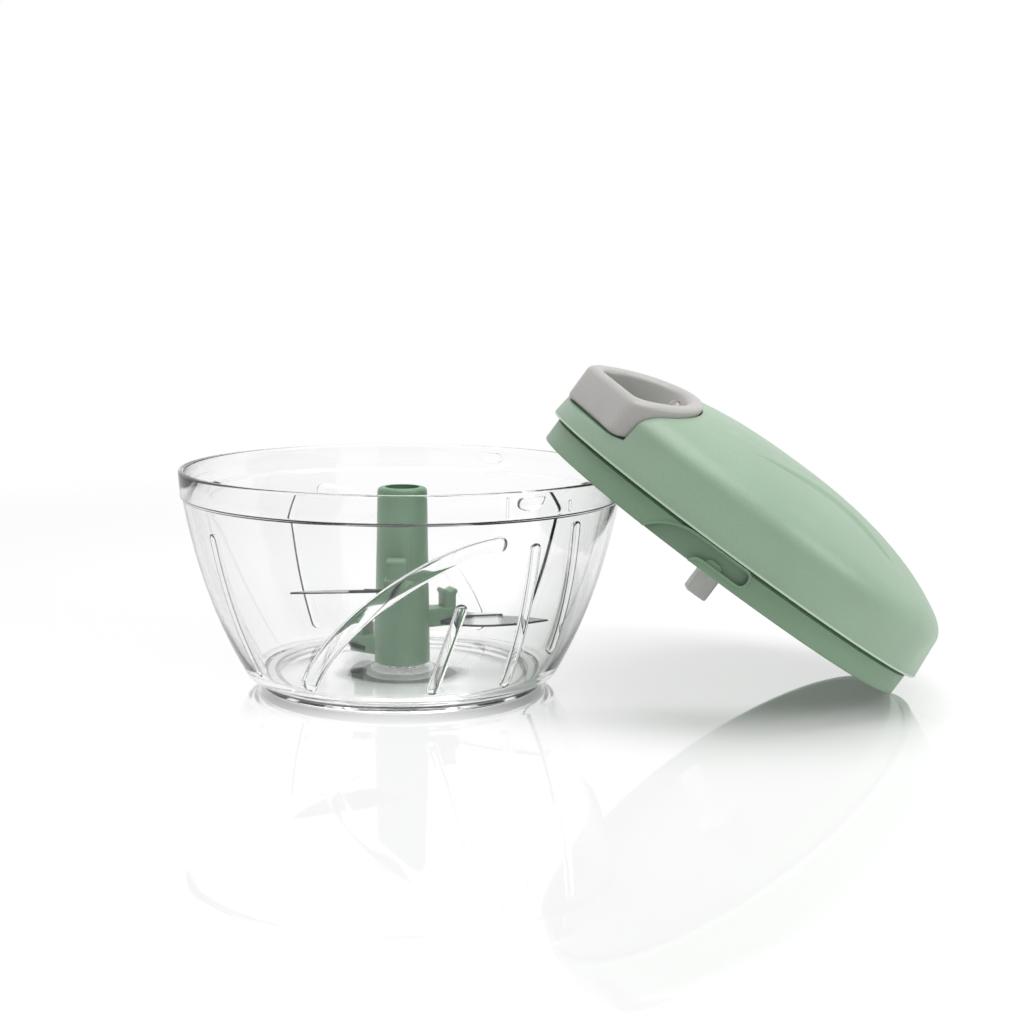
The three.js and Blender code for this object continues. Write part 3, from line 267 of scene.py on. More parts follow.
# Handle and cord, in the handle's frame: X outwards along the pull, Y across it, Z along the lid's axis
HANDLE_AZIMUTH = 200
HANDLE_FACE = 58.5
HANDLE_TIP = 34.98
HANDLE_HALF_WIDTH = 20.5
HANDLE_BAR = 3
HANDLE_SIDE = 5.5
HANDLE_HEEL = 3.8
HANDLE_BASE = 5.5
HANDLE_HEIGHT = 10.5
HANDLE_SLOPE = 0.45
HANDLE_CORNER = 6
HANDLE_HOLE_CORNER = 4
HANDLE_ROUND = 1.5
HANDLE_SHOULDER_SHARE = 0.68
HANDLE_TIP_SHARES = {"side": 0.42, "tip": 0.5}
HANDLE_CORNER_STEPS = 6
HANDLE_SIDE_STEPS = 24
HANDLE_LOOP_POINTS = 120
POCKET_GAP = 0.45
CORD_LEVEL = 20
CORD_RADIUS = 1
CORD_TURNS = 2.5
CORD_SPACING = 0.6
PULL_SPACING = 0.08
WINDING_RADIUS = 19.05
WINDING_BOTTOM = 14.6
WINDING_TOP = 20.85
SPOOL_RADIUS = 23
GUIDE_MOUTH = 25.43
GUIDE_THROAT = 32.6
GUIDE_BEND = 2
GUIDE_BEND_STEPS = 8
KNOT_START = 1.15
KNOT_LEAD = 0.5
KNOT_SETBACK = 1.3
KNOT_TURNS = 2
KNOT_PITCH = 1.05
KNOT_SEAT = 2.3
KNOT_COIL = 1.15
KNOT_CORD = 0.95
KNOT_STEPS = 16
BRAID_SIDES = 24
BRAID_STRANDS = 4
BRAID_PITCH = 6
BRAID_DEPTH = 0.16

# Finishes: colours as the eye sees them, from 0 to 255, but clear plastic's as shares of light let through
# Painted highlight along the cover's lip edge: its colour and the levels over which it fades
LIP_HIGHLIGHT_TINT = (203, 224, 202)
LIP_HIGHLIGHT_FADE = (0.4, 0.7)
# Painted shade in the deep backs of the bayonet slots: its colour, the depths over which it fades in and how far
# below the skirt it reaches
SLOT_SHADE_TINT = (120, 148, 124)
SLOT_SHADE_DEPTHS = (1.2, 0.5)
SLOT_SHADE_SHARE = 1.1
# Painted reflections on the blades: the glint's colour, stretch, fade and non-metal share, a darker left side and
# dark edges
GLINT_STEEL = (246, 247, 248)
GLINT_STRETCH = (19.4, 26.9)
GLINT_FADE = 0.9
GLINT_NONMETAL_SHARE = 0.75
LEFT_SHADE_STEEL = (96, 97, 99)
LEFT_SHADE_FADE = (-8, 4)
EDGE_SHADE_STEEL = (40, 41, 43)
# Cord colours: painted shade in the fibres' hollows, their lit crests, and soil
CORD_SHADE_CREST_SOIL = ((196, 192, 184), (232, 229, 222), (186, 180, 168))
# Clear plastic's grey edge on is partly painted shade for the dark edges that refraction shows
CLEAR_FACE = (0.985, 0.988, 0.986, 1)
CLEAR_EDGE_SHADE = (0.3, 0.31, 0.31, 1)
FLAT_SHADE_RELIEF = 0.75
NOISE_SPAN = (0.3, 0.7)
DRIFT_SPAN = (0.35, 0.65)
RUBBED_SPAN = (0.45, 0.7)

# Floor and light, in metres and watts
FLOOR_SIZE = 6.0
FLOOR_CELLS = 8
FLOOR_COLOUR = (0.76, 0.76, 0.76, 1)
FLOOR_BOUNCE = (0.85, 0.85, 0.85, 1)
FLOOR_GLOW = 0.23
FLOOR_FADE = (0.22, 0.5)
FLOOR_ROUGHNESS = 0.03
MIRROR_SHARES = (0.58, 0.13)
MIRROR_FADE = (0.02, 0.052)
BOWL_STAND = (0.03, 0.038)
UNDER_BOWL = 0.2
BEHIND_FADE = (-0.11, -0.05)
BEHIND = 0.25
WORLD_LIGHT = 0.4
LAMP_AIM = (0.05, 0, 0.03)
LAMPS = (
    {"name": "overhead", "place": (0.1, 0.03, 0.9), "size": (0.9, 0.7), "power": 6},
    {"name": "right_fill", "place": (0.95, -0.38, 0.5), "size": (0.5, 0.6), "power": 3.6},
)


# Frames

def turn(degrees, axis="Z"):
    return Matrix.Rotation(math.radians(degrees), 4, axis)


def lid_frame():
    """The lid's place and lean, read from the axis that its spool turns on."""
    joint = next(j for j in frame["joints"] if j["name"] == "spool_spin")
    axis = Vector(joint["axis"])
    return Matrix.Translation(joint["pos_m"]) @ Matrix.Rotation(UP.angle(axis), 4, "Y")


bowl_place = Matrix.Scale(MM, 4)
lid_place = lid_frame() @ bowl_place
handle_place = lid_place @ turn(HANDLE_AZIMUTH)


def add_object(name, data):
    made = bpy.data.objects.new(name, data)
    bpy.context.scene.collection.objects.link(made)
    return made


# Camera

def make_camera():
    lens = bpy.data.cameras.new("camera")
    lens.sensor_width = SENSOR_WIDTH
    lens.lens = LENS
    camera = add_object("camera", lens)
    aim = turn(-CAMERA_YAW) @ turn(90 - CAMERA_PITCH, "X") @ turn(CAMERA_ROLL)
    camera.matrix_world = Matrix.Translation(Vector(CAMERA_PLACE) * MM) @ aim
    bpy.context.scene.camera = camera


# Shader maths and nodes

class Wire:
    """A node's output as a number, so that shader maths is written as Python."""

    def __init__(self, board, socket):
        self.board = board
        self.socket = socket

    def maths(self, operation, first, second):
        return self.board.node("Math", {"operation": operation}, {0: first, 1: second})

    def __add__(self, other):
        return self.maths("ADD", self, other)

    def __sub__(self, other):
        return self.maths("SUBTRACT", self, other)

    def __rsub__(self, other):
        return self.maths("SUBTRACT", other, self)

    def __mul__(self, other):
        return self.maths("MULTIPLY", self, other)

    def __pow__(self, other):
        return self.maths("POWER", self, other)

    def __rpow__(self, other):
        return self.maths("POWER", other, self)

    __radd__ = __add__
    __rmul__ = __mul__


class Board:
    """A node tree that nodes are added to one by one."""

    def __init__(self, tree):
        self.tree = tree

    def node(self, kind, settings, sockets, output=0):
        made = self.tree.nodes.new("ShaderNode" + kind)
        for name, value in settings.items():
            setattr(made, name, value)
        for name, value in sockets.items():
            self.feed(made.inputs[name], value)
        return Wire(self, made.outputs[output])

    def feed(self, socket, value):
        if isinstance(value, Wire):
            self.tree.links.new(value.socket, socket)
        else:
            socket.default_value = value

    def place(self):
        return self.node("TexCoord", {}, {}, "Object")

    def light_path(self):
        """What kind of ray looks at the surface, by the names of Light Path's outputs."""
        rays = self.node("LightPath", {}, {}).socket.node
        return {socket.name: Wire(self, socket) for socket in rays.outputs}

    def along(self, vector, axis):
        return self.node("SeparateXYZ", {}, {0: vector}, axis)

    def length(self, vector):
        return self.node("VectorMath", {"operation": "LENGTH"}, {0: vector}, "Value")

    def noise(self, size, detail=3, stretch=(1, 1, 1)):
        """Noise whose grains are about this many millimetres across."""
        spot = self.node("Mapping", {}, {"Vector": self.place(), "Scale": stretch})
        return self.node("TexNoise", {}, {"Vector": spot, "Scale": 1 / (size * MM), "Detail": detail})

    def span(self, value, low, high, start=0.0, end=1.0):
        """The value's place between low and high, eased, as a number from start to end."""
        sockets = {"Value": value, "From Min": low, "From Max": high, "To Min": start, "To Max": end}
        return self.node("MapRange", {"interpolation_type": "SMOOTHSTEP"}, sockets)

    def fade(self, distance, low, high, start=0.0, end=1.0):
        """As span, for a distance in metres and limits in millimetres."""
        return self.span(distance, low * MM, high * MM, start, end)

    def blend(self, share, first, second):
        return self.node("Mix", {"data_type": "RGBA"}, {0: share, 6: first, 7: second}, 2)

    def light(self, kind, strength):
        return self.node(kind, {}, {"Color": WHITE, "Strength": strength})

    def texture(self, skin, height, strength, depth):
        """Gives a finish bumps that are at most this many millimetres deep."""
        bump = self.node("Bump", {}, {"Strength": strength, "Distance": depth * MM, "Height": height})
        self.feed(skin.inputs["Normal"], bump)


def shade(red, green, blue, lift=1.0):
    """A colour given as the eye sees it, from 0 to 255, in the linear values that shaders take."""
    linear = [((c / 255 + 0.055) / 1.055) ** 2.4 for c in (red, green, blue)]
    return (*(min(1.0, c * lift) for c in linear), 1.0)


def start_finish(name, **constants):
    material = bpy.data.materials.new(name + "_finish")
    material.use_nodes = True
    board = Board(material.node_tree)
    skin = material.node_tree.nodes["Principled BSDF"]
    for socket, value in constants.items():
        skin.inputs[socket.replace("_", " ")].default_value = value
    return material, board, skin


def lid_measures(board):
    """A spot's distance from the lid's axis and its level along that axis."""
    place = lid_frame()
    off = board.node("VectorMath", {"operation": "SUBTRACT"}, {0: board.place(), 1: place.translation})
    axis = place.to_3x3() @ UP
    level = board.node("VectorMath", {"operation": "DOT_PRODUCT"}, {0: off, 1: axis}, "Value")
    length = board.length(off)
    return (length * length - level * level) ** 0.5, level


def painted_lip_highlight(board, tone):
    """A painted highlight: a lighter band of colour along the thin moulded edge of the cover's lip, where light
    would catch it.
    """
    level = lid_measures(board)[1]
    return board.blend(board.fade(level, *LIP_HIGHLIGHT_FADE, 1, 0), tone, shade(*LIP_HIGHLIGHT_TINT))


def painted_slot_shade(board, tone):
    """Painted shade: the backs of the bayonet slots, which lie deep, get a darker green that stands in for the
    shadow that gathers there.
    """
    radius, level = lid_measures(board)
    start, end = [SKIRT_RADIUS - depth for depth in SLOT_SHADE_DEPTHS]
    deep = board.fade(radius, start, end, 1, 0)
    below = board.fade(level, -SKIRT_DEPTH * SLOT_SHADE_SHARE, -SKIRT_DEPTH)
    return board.blend(deep * below, tone, shade(*SLOT_SHADE_TINT))


def moulded_plastic(name, colour, roughness, change=None):
    """Moulded plastic: slow drifts of its colour, a fine spark grain and a few rubbed patches."""
    material, board, skin = start_finish(name, IOR=1.5, Coat_Roughness=0.3)
    drift = board.span(board.noise(22, detail=2), *DRIFT_SPAN)
    speck = board.span(board.noise(0.7, detail=2), *NOISE_SPAN)
    tone = board.blend(drift, shade(*colour, lift=0.955), shade(*colour, lift=1.035))
    fine = board.blend(speck * 0.5, tone, shade(*colour, lift=0.93))
    # Where a change is given it paints light or shade into the colour: a highlight on the cover's lip, shade in
    # the housing's slots
    board.feed(skin.inputs["Base Color"], change(board, fine) if change else fine)
    rubbed = board.span(board.noise(9, detail=4), *RUBBED_SPAN)
    board.feed(skin.inputs["Roughness"], roughness + speck * 0.05 - rubbed * 0.06)
    board.texture(skin, board.noise(0.35, detail=4), strength=0.1, depth=0.1)
    return material


def clear_plastic():
    """Clear moulded plastic with a faint ripple, greyer edge on, though level faces grey less. The grey is partly
    the real longer path through the plastic and partly painted shade for the dark edges that refraction shows.
    """
    material, board, skin = start_finish("clear_plastic", IOR=1.49, Transmission_Weight=1.0)
    edge = board.node("LayerWeight", {}, {"Blend": 0.22}, "Facing")
    facing = board.node("NewGeometry", {}, {}, "Normal")
    flat = board.along(facing, "Z") ** 2.0
    painted_edge_shade = (1 - flat * FLAT_SHADE_RELIEF) * edge ** 1.7
    board.feed(skin.inputs["Base Color"], board.blend(painted_edge_shade, CLEAR_FACE, CLEAR_EDGE_SHADE))
    board.feed(skin.inputs["Roughness"], board.span(board.noise(6), *NOISE_SPAN, 0.01, 0.035))
    board.texture(skin, board.noise(14, detail=1, stretch=(1, 1, 0.35)), strength=0.12, depth=0.3)
    return material


def brushed_steel(name, colour, roughness, stretch, change=None, glint_mask=None):
    """Steel with fine grinding lines along one way and small cloudy changes of polish."""
    material, board, skin = start_finish(name, Metallic=1.0)
    lines = board.noise(0.35, stretch=stretch)
    cloud = board.noise(5)
    worn, ground = shade(*colour, lift=0.82), shade(*colour, lift=1.1)
    tone = board.blend(board.span(lines, *NOISE_SPAN), worn, ground)
    board.feed(skin.inputs["Base Color"], change(board, tone) if change else tone)
    board.feed(skin.inputs["Roughness"], roughness + cloud * 0.08 + lines * 0.08)
    # Painted glint: in the masked stretch the steel turns partly non-metallic so that its bright colour shows
    if glint_mask:
        board.feed(skin.inputs["Metallic"], 1 - glint_mask(board) * GLINT_NONMETAL_SHARE)
    board.texture(skin, lines, strength=0.12, depth=0.03)
    return material


def painted_glint_stretch(board):
    """How far a spot lies in the stretch of the blades that has a painted glint."""
    across = board.along(board.place(), "X")
    start, end = GLINT_STRETCH
    glint_rise = board.fade(across, start - GLINT_FADE, start + GLINT_FADE)
    return glint_rise * board.fade(across, end - GLINT_FADE, end + GLINT_FADE, 1, 0)


def blade_painted_reflections(board, tone):
    """Blade steel with painted reflections: darker to the left as a painted dark reflection, a painted glint on a
    stretch of its flats, and edges painted dark as a dark reflection.
    """
    across = board.along(board.place(), "X")
    facing = board.node("NewGeometry", {}, {}, "Normal")
    flat = board.span(board.along(facing, "Z") ** 2.0, 0.1, 0.6)
    left_shaded = board.blend(board.fade(across, *LEFT_SHADE_FADE, 1, 0), tone, shade(*LEFT_SHADE_STEEL))
    glinting = board.blend(painted_glint_stretch(board), left_shaded, shade(*GLINT_STEEL))
    return board.blend(flat, shade(*EDGE_SHADE_STEEL), glinting)


def braided_fibre():
    """White braided cord: soft fibres over the strands, with painted shade that makes it a little darker in the
    fibres' hollows.
    """
    material, board, skin = start_finish("cord", Sheen_Weight=0.3, Sheen_Roughness=0.5)
    fibres = board.noise(0.16, stretch=(1, 1, 0.3))
    fray = board.noise(1.2, detail=2)
    hollow, crest, soil = [shade(*tint) for tint in CORD_SHADE_CREST_SOIL]
    tone = board.blend(board.span(fibres, *NOISE_SPAN), hollow, crest)
    board.feed(skin.inputs["Base Color"], board.blend(fray * 0.25, tone, soil))
    board.feed(skin.inputs["Roughness"], 0.8 + fibres * 0.12)
    board.texture(skin, fibres, strength=0.5, depth=0.08)
    return material


# Curves and outlines

def bend(start, middle, end, steps):
    """Points of a quadratic curve from start to end, both given."""
    points = []
    for step in range(steps + 1):
        t = step / steps
        pairs = zip(start, middle, end)
        points.append(Vector([a * (1 - t) ** 2 + 2 * b * t * (1 - t) + c * t * t for a, b, c in pairs]))
    return points


def sweep_curve(start, first, second, end, steps):
    """Points of a cubic curve, without its start."""
    points = []
    for step in range(1, steps + 1):
        t = step / steps
        weights = ((1 - t) ** 3, 3 * t * (1 - t) ** 2, 3 * t * t * (1 - t), t ** 3)
        ends = zip(start, first, second, end)
        points.append(Vector([sum(w * c for w, c in zip(weights, group)) for group in ends]))
    return points


def soften(points, radius, steps=3):
    """An open outline with each of its corners rounded."""
    points = [Vector(point) for point in points]
    soft = [points[0]]
    for before, corner, after in zip(points, points[1:], points[2:]):
        back = before - corner
        ahead = after - corner
        reach = min(radius, back.length / 2, ahead.length / 2)
        soft += bend(corner + back.normalized() * reach, corner, corner + ahead.normalized() * reach, steps)
    return soft + [points[-1]]


def square(size):
    half = size / 2
    return [(-half, -half), (half, -half), (half, half), (-half, half)]


def ease(share):
    share = min(1.0, max(0.0, share))
    return share * share * (3 - 2 * share)


# Shapes

def verts_of(made):
    """The vertices among the things that an operator made."""
    return [part for part in made["geom"] if isinstance(part, bmesh.types.BMVert)]


def spun(profile, steps, closed=False):
    """A profile of (radius, height) points spun round Z."""
    shape = bmesh.new()
    corners = [shape.verts.new((x, 0, z)) for x, z in profile]
    pairs = list(zip(corners, corners[1:]))
    if closed:
        pairs.append((corners[-1], corners[0]))
    edges = [shape.edges.new(pair) for pair in pairs]
    sectors = 2 ** SECTOR_DOUBLINGS
    angle = FULL_TURN / sectors
    bmesh.ops.spin(
        shape, geom=corners + edges, cent=(0, 0, 0), axis=UP, angle=angle, steps=steps // sectors
    )
    for doubling in range(SECTOR_DOUBLINGS):
        copied = bmesh.ops.duplicate(shape, geom=shape.verts[:] + shape.edges[:] + shape.faces[:])
        step = Matrix.Rotation(angle * 2 ** doubling, 3, UP)
        bmesh.ops.rotate(shape, verts=verts_of(copied), cent=(0, 0, 0), matrix=step)
    bmesh.ops.remove_doubles(shape, verts=shape.verts, dist=WELD)
    bmesh.ops.recalc_face_normals(shape, faces=shape.faces)
    return shape


def prism(points, bottom, top):
    """A closed outline in X and Y drawn out from bottom to top."""
    shape = bmesh.new()
    base = shape.faces.new([shape.verts.new((x, y, bottom)) for x, y in points])
    made = bmesh.ops.extrude_face_region(shape, geom=[base])
    bmesh.ops.translate(shape, verts=verts_of(made), vec=UP * (top - bottom))
    bmesh.ops.remove_doubles(shape, verts=shape.verts, dist=WELD)
    bmesh.ops.recalc_face_normals(shape, faces=shape.faces)
    return shape


def moved(shape, place):
    bmesh.ops.transform(shape, matrix=place, verts=shape.verts)
    return shape


def frames_along(line):
    """A frame at each (spot, up) of a line: Z along it and Y upwards."""
    spots = [spot for spot, up in line]
    frames = []
    for index, (spot, up) in enumerate(line):
        ahead = (spots[min(index + 1, len(spots) - 1)] - spots[max(index - 1, 0)]).normalized()
        across = up.cross(ahead).normalized()
        turned = Matrix((across, ahead.cross(across), ahead)).transposed().to_4x4()
        frames.append(Matrix.Translation(spot) @ turned)
    return frames


def swept(section, frames):
    """A closed solid drawn from a section through frames. Its vertices follow the frames' order."""
    shape = bmesh.new()
    face = shape.faces.new([shape.verts.new(frames[0] @ Vector((x, y, 0))) for x, y in section])
    for station, (before, after) in enumerate(zip(frames, frames[1:])):
        made = bmesh.ops.extrude_face_region(shape, geom=[face])
        if station:
            bmesh.ops.delete(shape, geom=[face], context="FACES_ONLY")
        face = next(part for part in made["geom"] if isinstance(part, bmesh.types.BMFace))
        bmesh.ops.transform(shape, matrix=after @ before.inverted(), verts=verts_of(made))
    bmesh.ops.recalc_face_normals(shape, faces=shape.faces)
    return shape


def side_prism(points, width):
    """A prism whose outline lies in the plane of X and Z, centred on Y."""
    return moved(prism(points, -width / 2, width / 2), turn(90, "X"))


def rod(radius, bottom, top, steps=ROD_STEPS):
    return spun([(0, bottom), (radius, bottom), (radius, top), (0, top)], steps)


def tube(inner, outer, bottom, top, steps):
    return spun([(inner, bottom), (outer, bottom), (outer, top), (inner, top)], steps, closed=True)


def rounded_edges(shape, width, segments=3, least=40):
    """Rounds every edge whose faces meet at more than the least angle."""
    hard = [e for e in shape.edges if len(e.link_faces) == 2 and e.calc_face_angle() > math.radians(least)]
    bmesh.ops.bevel(
        shape, geom=hard, offset=width, offset_type="OFFSET", affect="EDGES", segments=segments,
        profile=0.5, material=-1, clamp_overlap=True,
    )
    return shape


def as_object(name, shape):
    mesh = bpy.data.meshes.new(name)
    shape.to_mesh(mesh)
    shape.free()
    return add_object(name, mesh)


def combined(base, operation, *tools):
    """The base joined with, cut by or kept within the tools, one after another."""
    target = as_object("base", base)
    helpers = [as_object("tool", tool) for tool in tools]
    for helper in helpers:
        modifier = target.modifiers.new("cut", "BOOLEAN")
        modifier.solver = "MANIFOLD"
        modifier.operation = operation
        modifier.object = helper
    result = bmesh.new()
    result.from_object(target, bpy.context.evaluated_depsgraph_get())
    for spent in [target, *helpers]:
        bpy.data.objects.remove(spent)
    return result


def cut(base, *tools):
    return combined(base, "DIFFERENCE", *tools)


def join(base, *tools):
    return combined(base, "UNION", *tools)


def dress(name, shape, place, body, slot, node=None, finish=None):
    """Puts a finished shape in the frame as a piece that rides on a body and stands for a node."""
    moved(shape, place)
    piece = as_object(name, shape)
    piece.data.polygons.foreach_set("use_smooth", [True] * len(piece.data.polygons))
    piece.data.set_sharp_from_angle(angle=SHARP_ANGLE)
    piece.data.materials.append(finishes[finish or slot])
    if body:
        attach(piece, body)
    if node:
        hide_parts(node)
    return piece


# Bowl

band_bottom = BOWL_HEIGHT - RIM_BAND
band_inner = RIM_RADIUS - RIM_WALL
wall_top = Vector((RIM_RADIUS - BAND_TAPER - BAND_STEP, band_bottom - BAND_STEP))


def wall_curve(inset):
    """The three points that shape the bowl's wall, on its outside or set in by its thickness."""
    span = wall_top - Vector((BASE_RADIUS, BASE_RISE))
    belly = Vector((BASE_RADIUS + span.x * BELLY_SHARES[0], BASE_RISE + span.y * BELLY_SHARES[1]))
    foot = Vector((BASE_RADIUS - inset, BASE_RISE + inset))
    return foot, belly - Vector((inset, 0)), wall_top - Vector((inset, 0))


def wall_spot(azimuth, share):
    """A point on the inside of the wall, with the direction into the bowl there."""
    foot, belly, top = wall_curve(BOWL_WALL)
    spot = foot * (1 - share) ** 2 + 2 * belly * share * (1 - share) + top * share * share
    way = (2 * (belly - foot) * (1 - share) + 2 * (top - belly) * share).normalized()
    out = Vector((math.cos(math.radians(azimuth)), math.sin(math.radians(azimuth)), 0))
    return out * spot.x + UP * spot.y, out * -way.y + UP * way.x


def rib_shares():
    """Shares of the way along a rib, closest together near its two ends."""
    return [(1 - math.cos(math.pi * step / RIB_STEPS)) / 2 for step in range(RIB_STEPS + 1)]


def rib_line(run, curl):
    """Points along the middle of a rib. A curl over 1 makes it climb early and flatten out."""
    line = []
    for t in rib_shares():
        climb = 1 - (1 - t) ** curl
        azimuth = run["from"] + (run["to"] - run["from"]) * t
        line.append(wall_spot(azimuth, run["low"] + (run["high"] - run["low"]) * climb))
    return line


def seam_line(seam):
    """Points up the inside of the rim band, where two parts of its mould met."""
    out = turn(seam["azimuth"]).to_3x3() @ Vector((1, 0, 0))
    rise = seam["high"] - seam["low"]
    return [(out * band_inner + UP * (seam["low"] + rise * t), -out) for t in rib_shares()]


def rib_solid(line, width, rise):
    """A rib with a flat crown, soft edges and round ends, sunk into the wall that it lies on."""
    section = [(-width / 2, -RIB_SINK), (width / 2, -RIB_SINK)]
    for step in range(RIB_SIDES + 1):
        angle = math.pi * step / RIB_SIDES
        across = math.copysign(abs(math.cos(angle)) ** RIB_SQUARENESS, math.cos(angle))
        section.append((width / 2 * across, rise * math.sin(angle) ** RIB_SQUARENESS))
    spots = [spot for spot, up in line]
    runs = [(after - before).length for before, after in zip(spots, spots[1:])]
    frames = []
    for index, frame_here in enumerate(frames_along(line)):
        reach = min(1.0, 2 * min(sum(runs[:index]), sum(runs[index:])) / width)
        size = max(RIB_END, math.sqrt(1 - (1 - reach) ** 2))
        frames.append(frame_here @ Matrix.Diagonal((size, size, 1, 1)))
    return swept(section, frames)


def lug_solid(azimuth):
    """A bayonet lug on the rim band, round at one end and drawn to a point at the other."""
    half = LUG_WIDTH / 2
    rise = LUG_HEIGHT / 2
    points = [Vector((half, rise))]
    points += bend((-half / 2, rise), (-half, rise), (-half, 0), LUG_STEPS)
    points += bend((-half, 0), (-half, -rise), (0, -rise), LUG_STEPS)[1:]
    points += bend((0, -rise), (half, -rise / 2), (half, rise), LUG_POINT_STEPS)[1:-1]
    lug = rounded_edges(prism(points, band_inner - LUG_REACH, band_inner + RIM_WALL / 2), LUG_EDGE)
    raised = Matrix.Translation(UP * (BOWL_HEIGHT - LUG_DROP))
    return moved(lug, raised @ turn(azimuth) @ turn(90) @ turn(90, "X"))


def bowl_profile():
    """Half of the bowl cut through its axis, from the middle of its underside round to the pin's hole."""
    foot_inner = FOOT_RADIUS - FOOT_WIDTH
    under = soften(
        [(0, 0), (PAD_RADIUS, 0), (PAD_RADIUS + FOOT_DRAFT, FLOOR_RECESS),
         (foot_inner - FOOT_DRAFT, FLOOR_RECESS), (foot_inner, 0), (FOOT_RADIUS, 0),
         (FOOT_RADIUS + FOOT_SPREAD, BASE_RISE / 2),
         (BASE_RADIUS - BASE_CHAMFER, BASE_RISE - BASE_CHAMFER), wall_curve(0)[0]],
        BOWL_SOFTNESS["foot"],
    )
    outer = bend(*wall_curve(0), OUTER_ROWS)
    reach = RIM_WALL / 2
    centre = Vector((RIM_RADIUS - reach, BOWL_HEIGHT - reach))
    band = soften(
        [wall_top, (wall_top.x + BAND_STEP, band_bottom), (RIM_RADIUS, centre.y)], BOWL_SOFTNESS["band"]
    )
    rim = []
    for step in range(1, RIM_STEPS):
        angle = math.pi * step / RIM_STEPS
        rim.append(centre + Vector((math.cos(angle), math.sin(angle))) * reach)
    rim.append(Vector((band_inner, centre.y)))
    inner = bend(*wall_curve(BOWL_WALL), INNER_ROWS)
    ledge_top = Vector((band_inner - BAND_TAPER / 2, band_bottom + LEDGE_WIDTH / 2))
    ledge = soften(
        [ledge_top, (ledge_top.x, ledge_top.y - LEDGE_DROP), inner[-1]], BOWL_SOFTNESS["ledge"]
    )
    boss_top = FLOOR_TOP + BOSS_RISE
    hole = PIN_RADIUS + GAP
    floor = soften(
        [inner[0], (FLOOR_RADIUS, FLOOR_TOP), (BOSS_RADIUS + FOOT_DRAFT, FLOOR_TOP),
         (BOSS_RADIUS, boss_top), (hole, boss_top)],
        BOWL_SOFTNESS["floor"],
    )
    floor += [Vector((hole, boss_top - PIN_SINK)), Vector((0, boss_top - PIN_SINK))]
    return under + outer[1:-1] + band + rim + ledge + inner[-2:0:-1] + floor


def make_bowl():
    ribs = [rib_solid(seam_line(seam), BAND_SEAM["width"], BAND_SEAM["rise"]) for seam in BAND_SEAMS]
    for runs, kind in ((STRAIGHT_RIBS, STRAIGHT_RIB), (SWIRL_RIBS, SWIRL_RIB)):
        ribs += [rib_solid(rib_line(run, kind["curl"]), kind["width"], kind["rise"]) for run in runs]
    lugs = [lug_solid(azimuth) for azimuth in LUG_AZIMUTHS]
    shape = join(spun(bowl_profile(), BOWL_STEPS), *ribs, *lugs)
    piece = dress("bowl_shell", shape, bowl_place, "bowl", "clear_plastic", "bowl")
    piece.visible_shadow = False
    piece.visible_diffuse = False


# Blade unit

def blade_outline(length, grow):
    """A blade seen from above: a round root, a full belly and a flatter back that meet in a point."""
    root = BLADE_ROOT + grow
    belly = BLADE_WIDTH - BLADE_ROOT + grow
    back = root * BLADE_FAR_SHARES["back"]
    along = length * BLADE_FAR_SHARES["along"]
    points = []
    for step in range(BLADE_ROOT_STEPS + 1):
        angle = math.pi / 2 + math.pi * step / BLADE_ROOT_STEPS
        points.append(Vector((root * math.cos(angle), root * math.sin(angle))))
    tip = (length + grow, root * BLADE_FAR_SHARES["tip"])
    full = (length * BLADE_NEAR_SHARES["belly"], -belly * BLADE_NEAR_SHARES["drop"])
    points += sweep_curve((0, -root), full, (along, -belly), tip, BLADE_SIDE_STEPS)
    near = (length * BLADE_NEAR_SHARES["back"], back)
    points += sweep_curve(tip, (along, back), near, (0, root), BLADE_SIDE_STEPS)[:-1]
    return points


def blade_seat(index):
    """Moves a blade from its flat frame to its arm."""
    azimuth = ARM_AZIMUTHS[index]
    circle = ARM_REACH - TAB_LENGTH / 2 - TAB_INSET
    spot = turn(azimuth) @ Vector((circle, 0, ARM_LEVELS[index] + BLADE_LIFT))
    swept_back = Matrix.Translation(spot) @ turn(azimuth + BLADE_SWEEP)
    return swept_back @ turn(-BLADE_RISE, "Y") @ turn(BLADE_PITCH, "X")


def stake(grow):
    """The stake that holds a blade in its tab, or its hole when it is grown."""
    return rod(STAKE_RADIUS + grow, -2 * OVERRUN, 2 * OVERRUN)


def make_blade(index):
    length = BLADE_LENGTHS[index]
    half = BLADE_THICKNESS / 2
    plate = prism(blade_outline(length, 0), -half, half)
    slope = BLADE_WIDTH / 2
    wedge = side_prism(
        [(0, BLADE_EDGE), (slope, half + BLADE_EDGE), (slope, BLADE_WIDTH),
         (-BLADE_WIDTH, BLADE_WIDTH), (-BLADE_WIDTH, BLADE_EDGE - half)],
        length,
    )
    start = Vector((length * GRIND_SHARES["along"], -BLADE_WIDTH * GRIND_SHARES["across"], 0))
    ground = cut(plate, moved(wedge, Matrix.Translation(start) @ turn(GRIND_TURN - 90)), stake(GAP))
    name = ARM_NAMES[index] + "_blade"
    dress(name + "_ground", ground, bowl_place @ blade_seat(index), "blade_unit", "blade_steel", name)


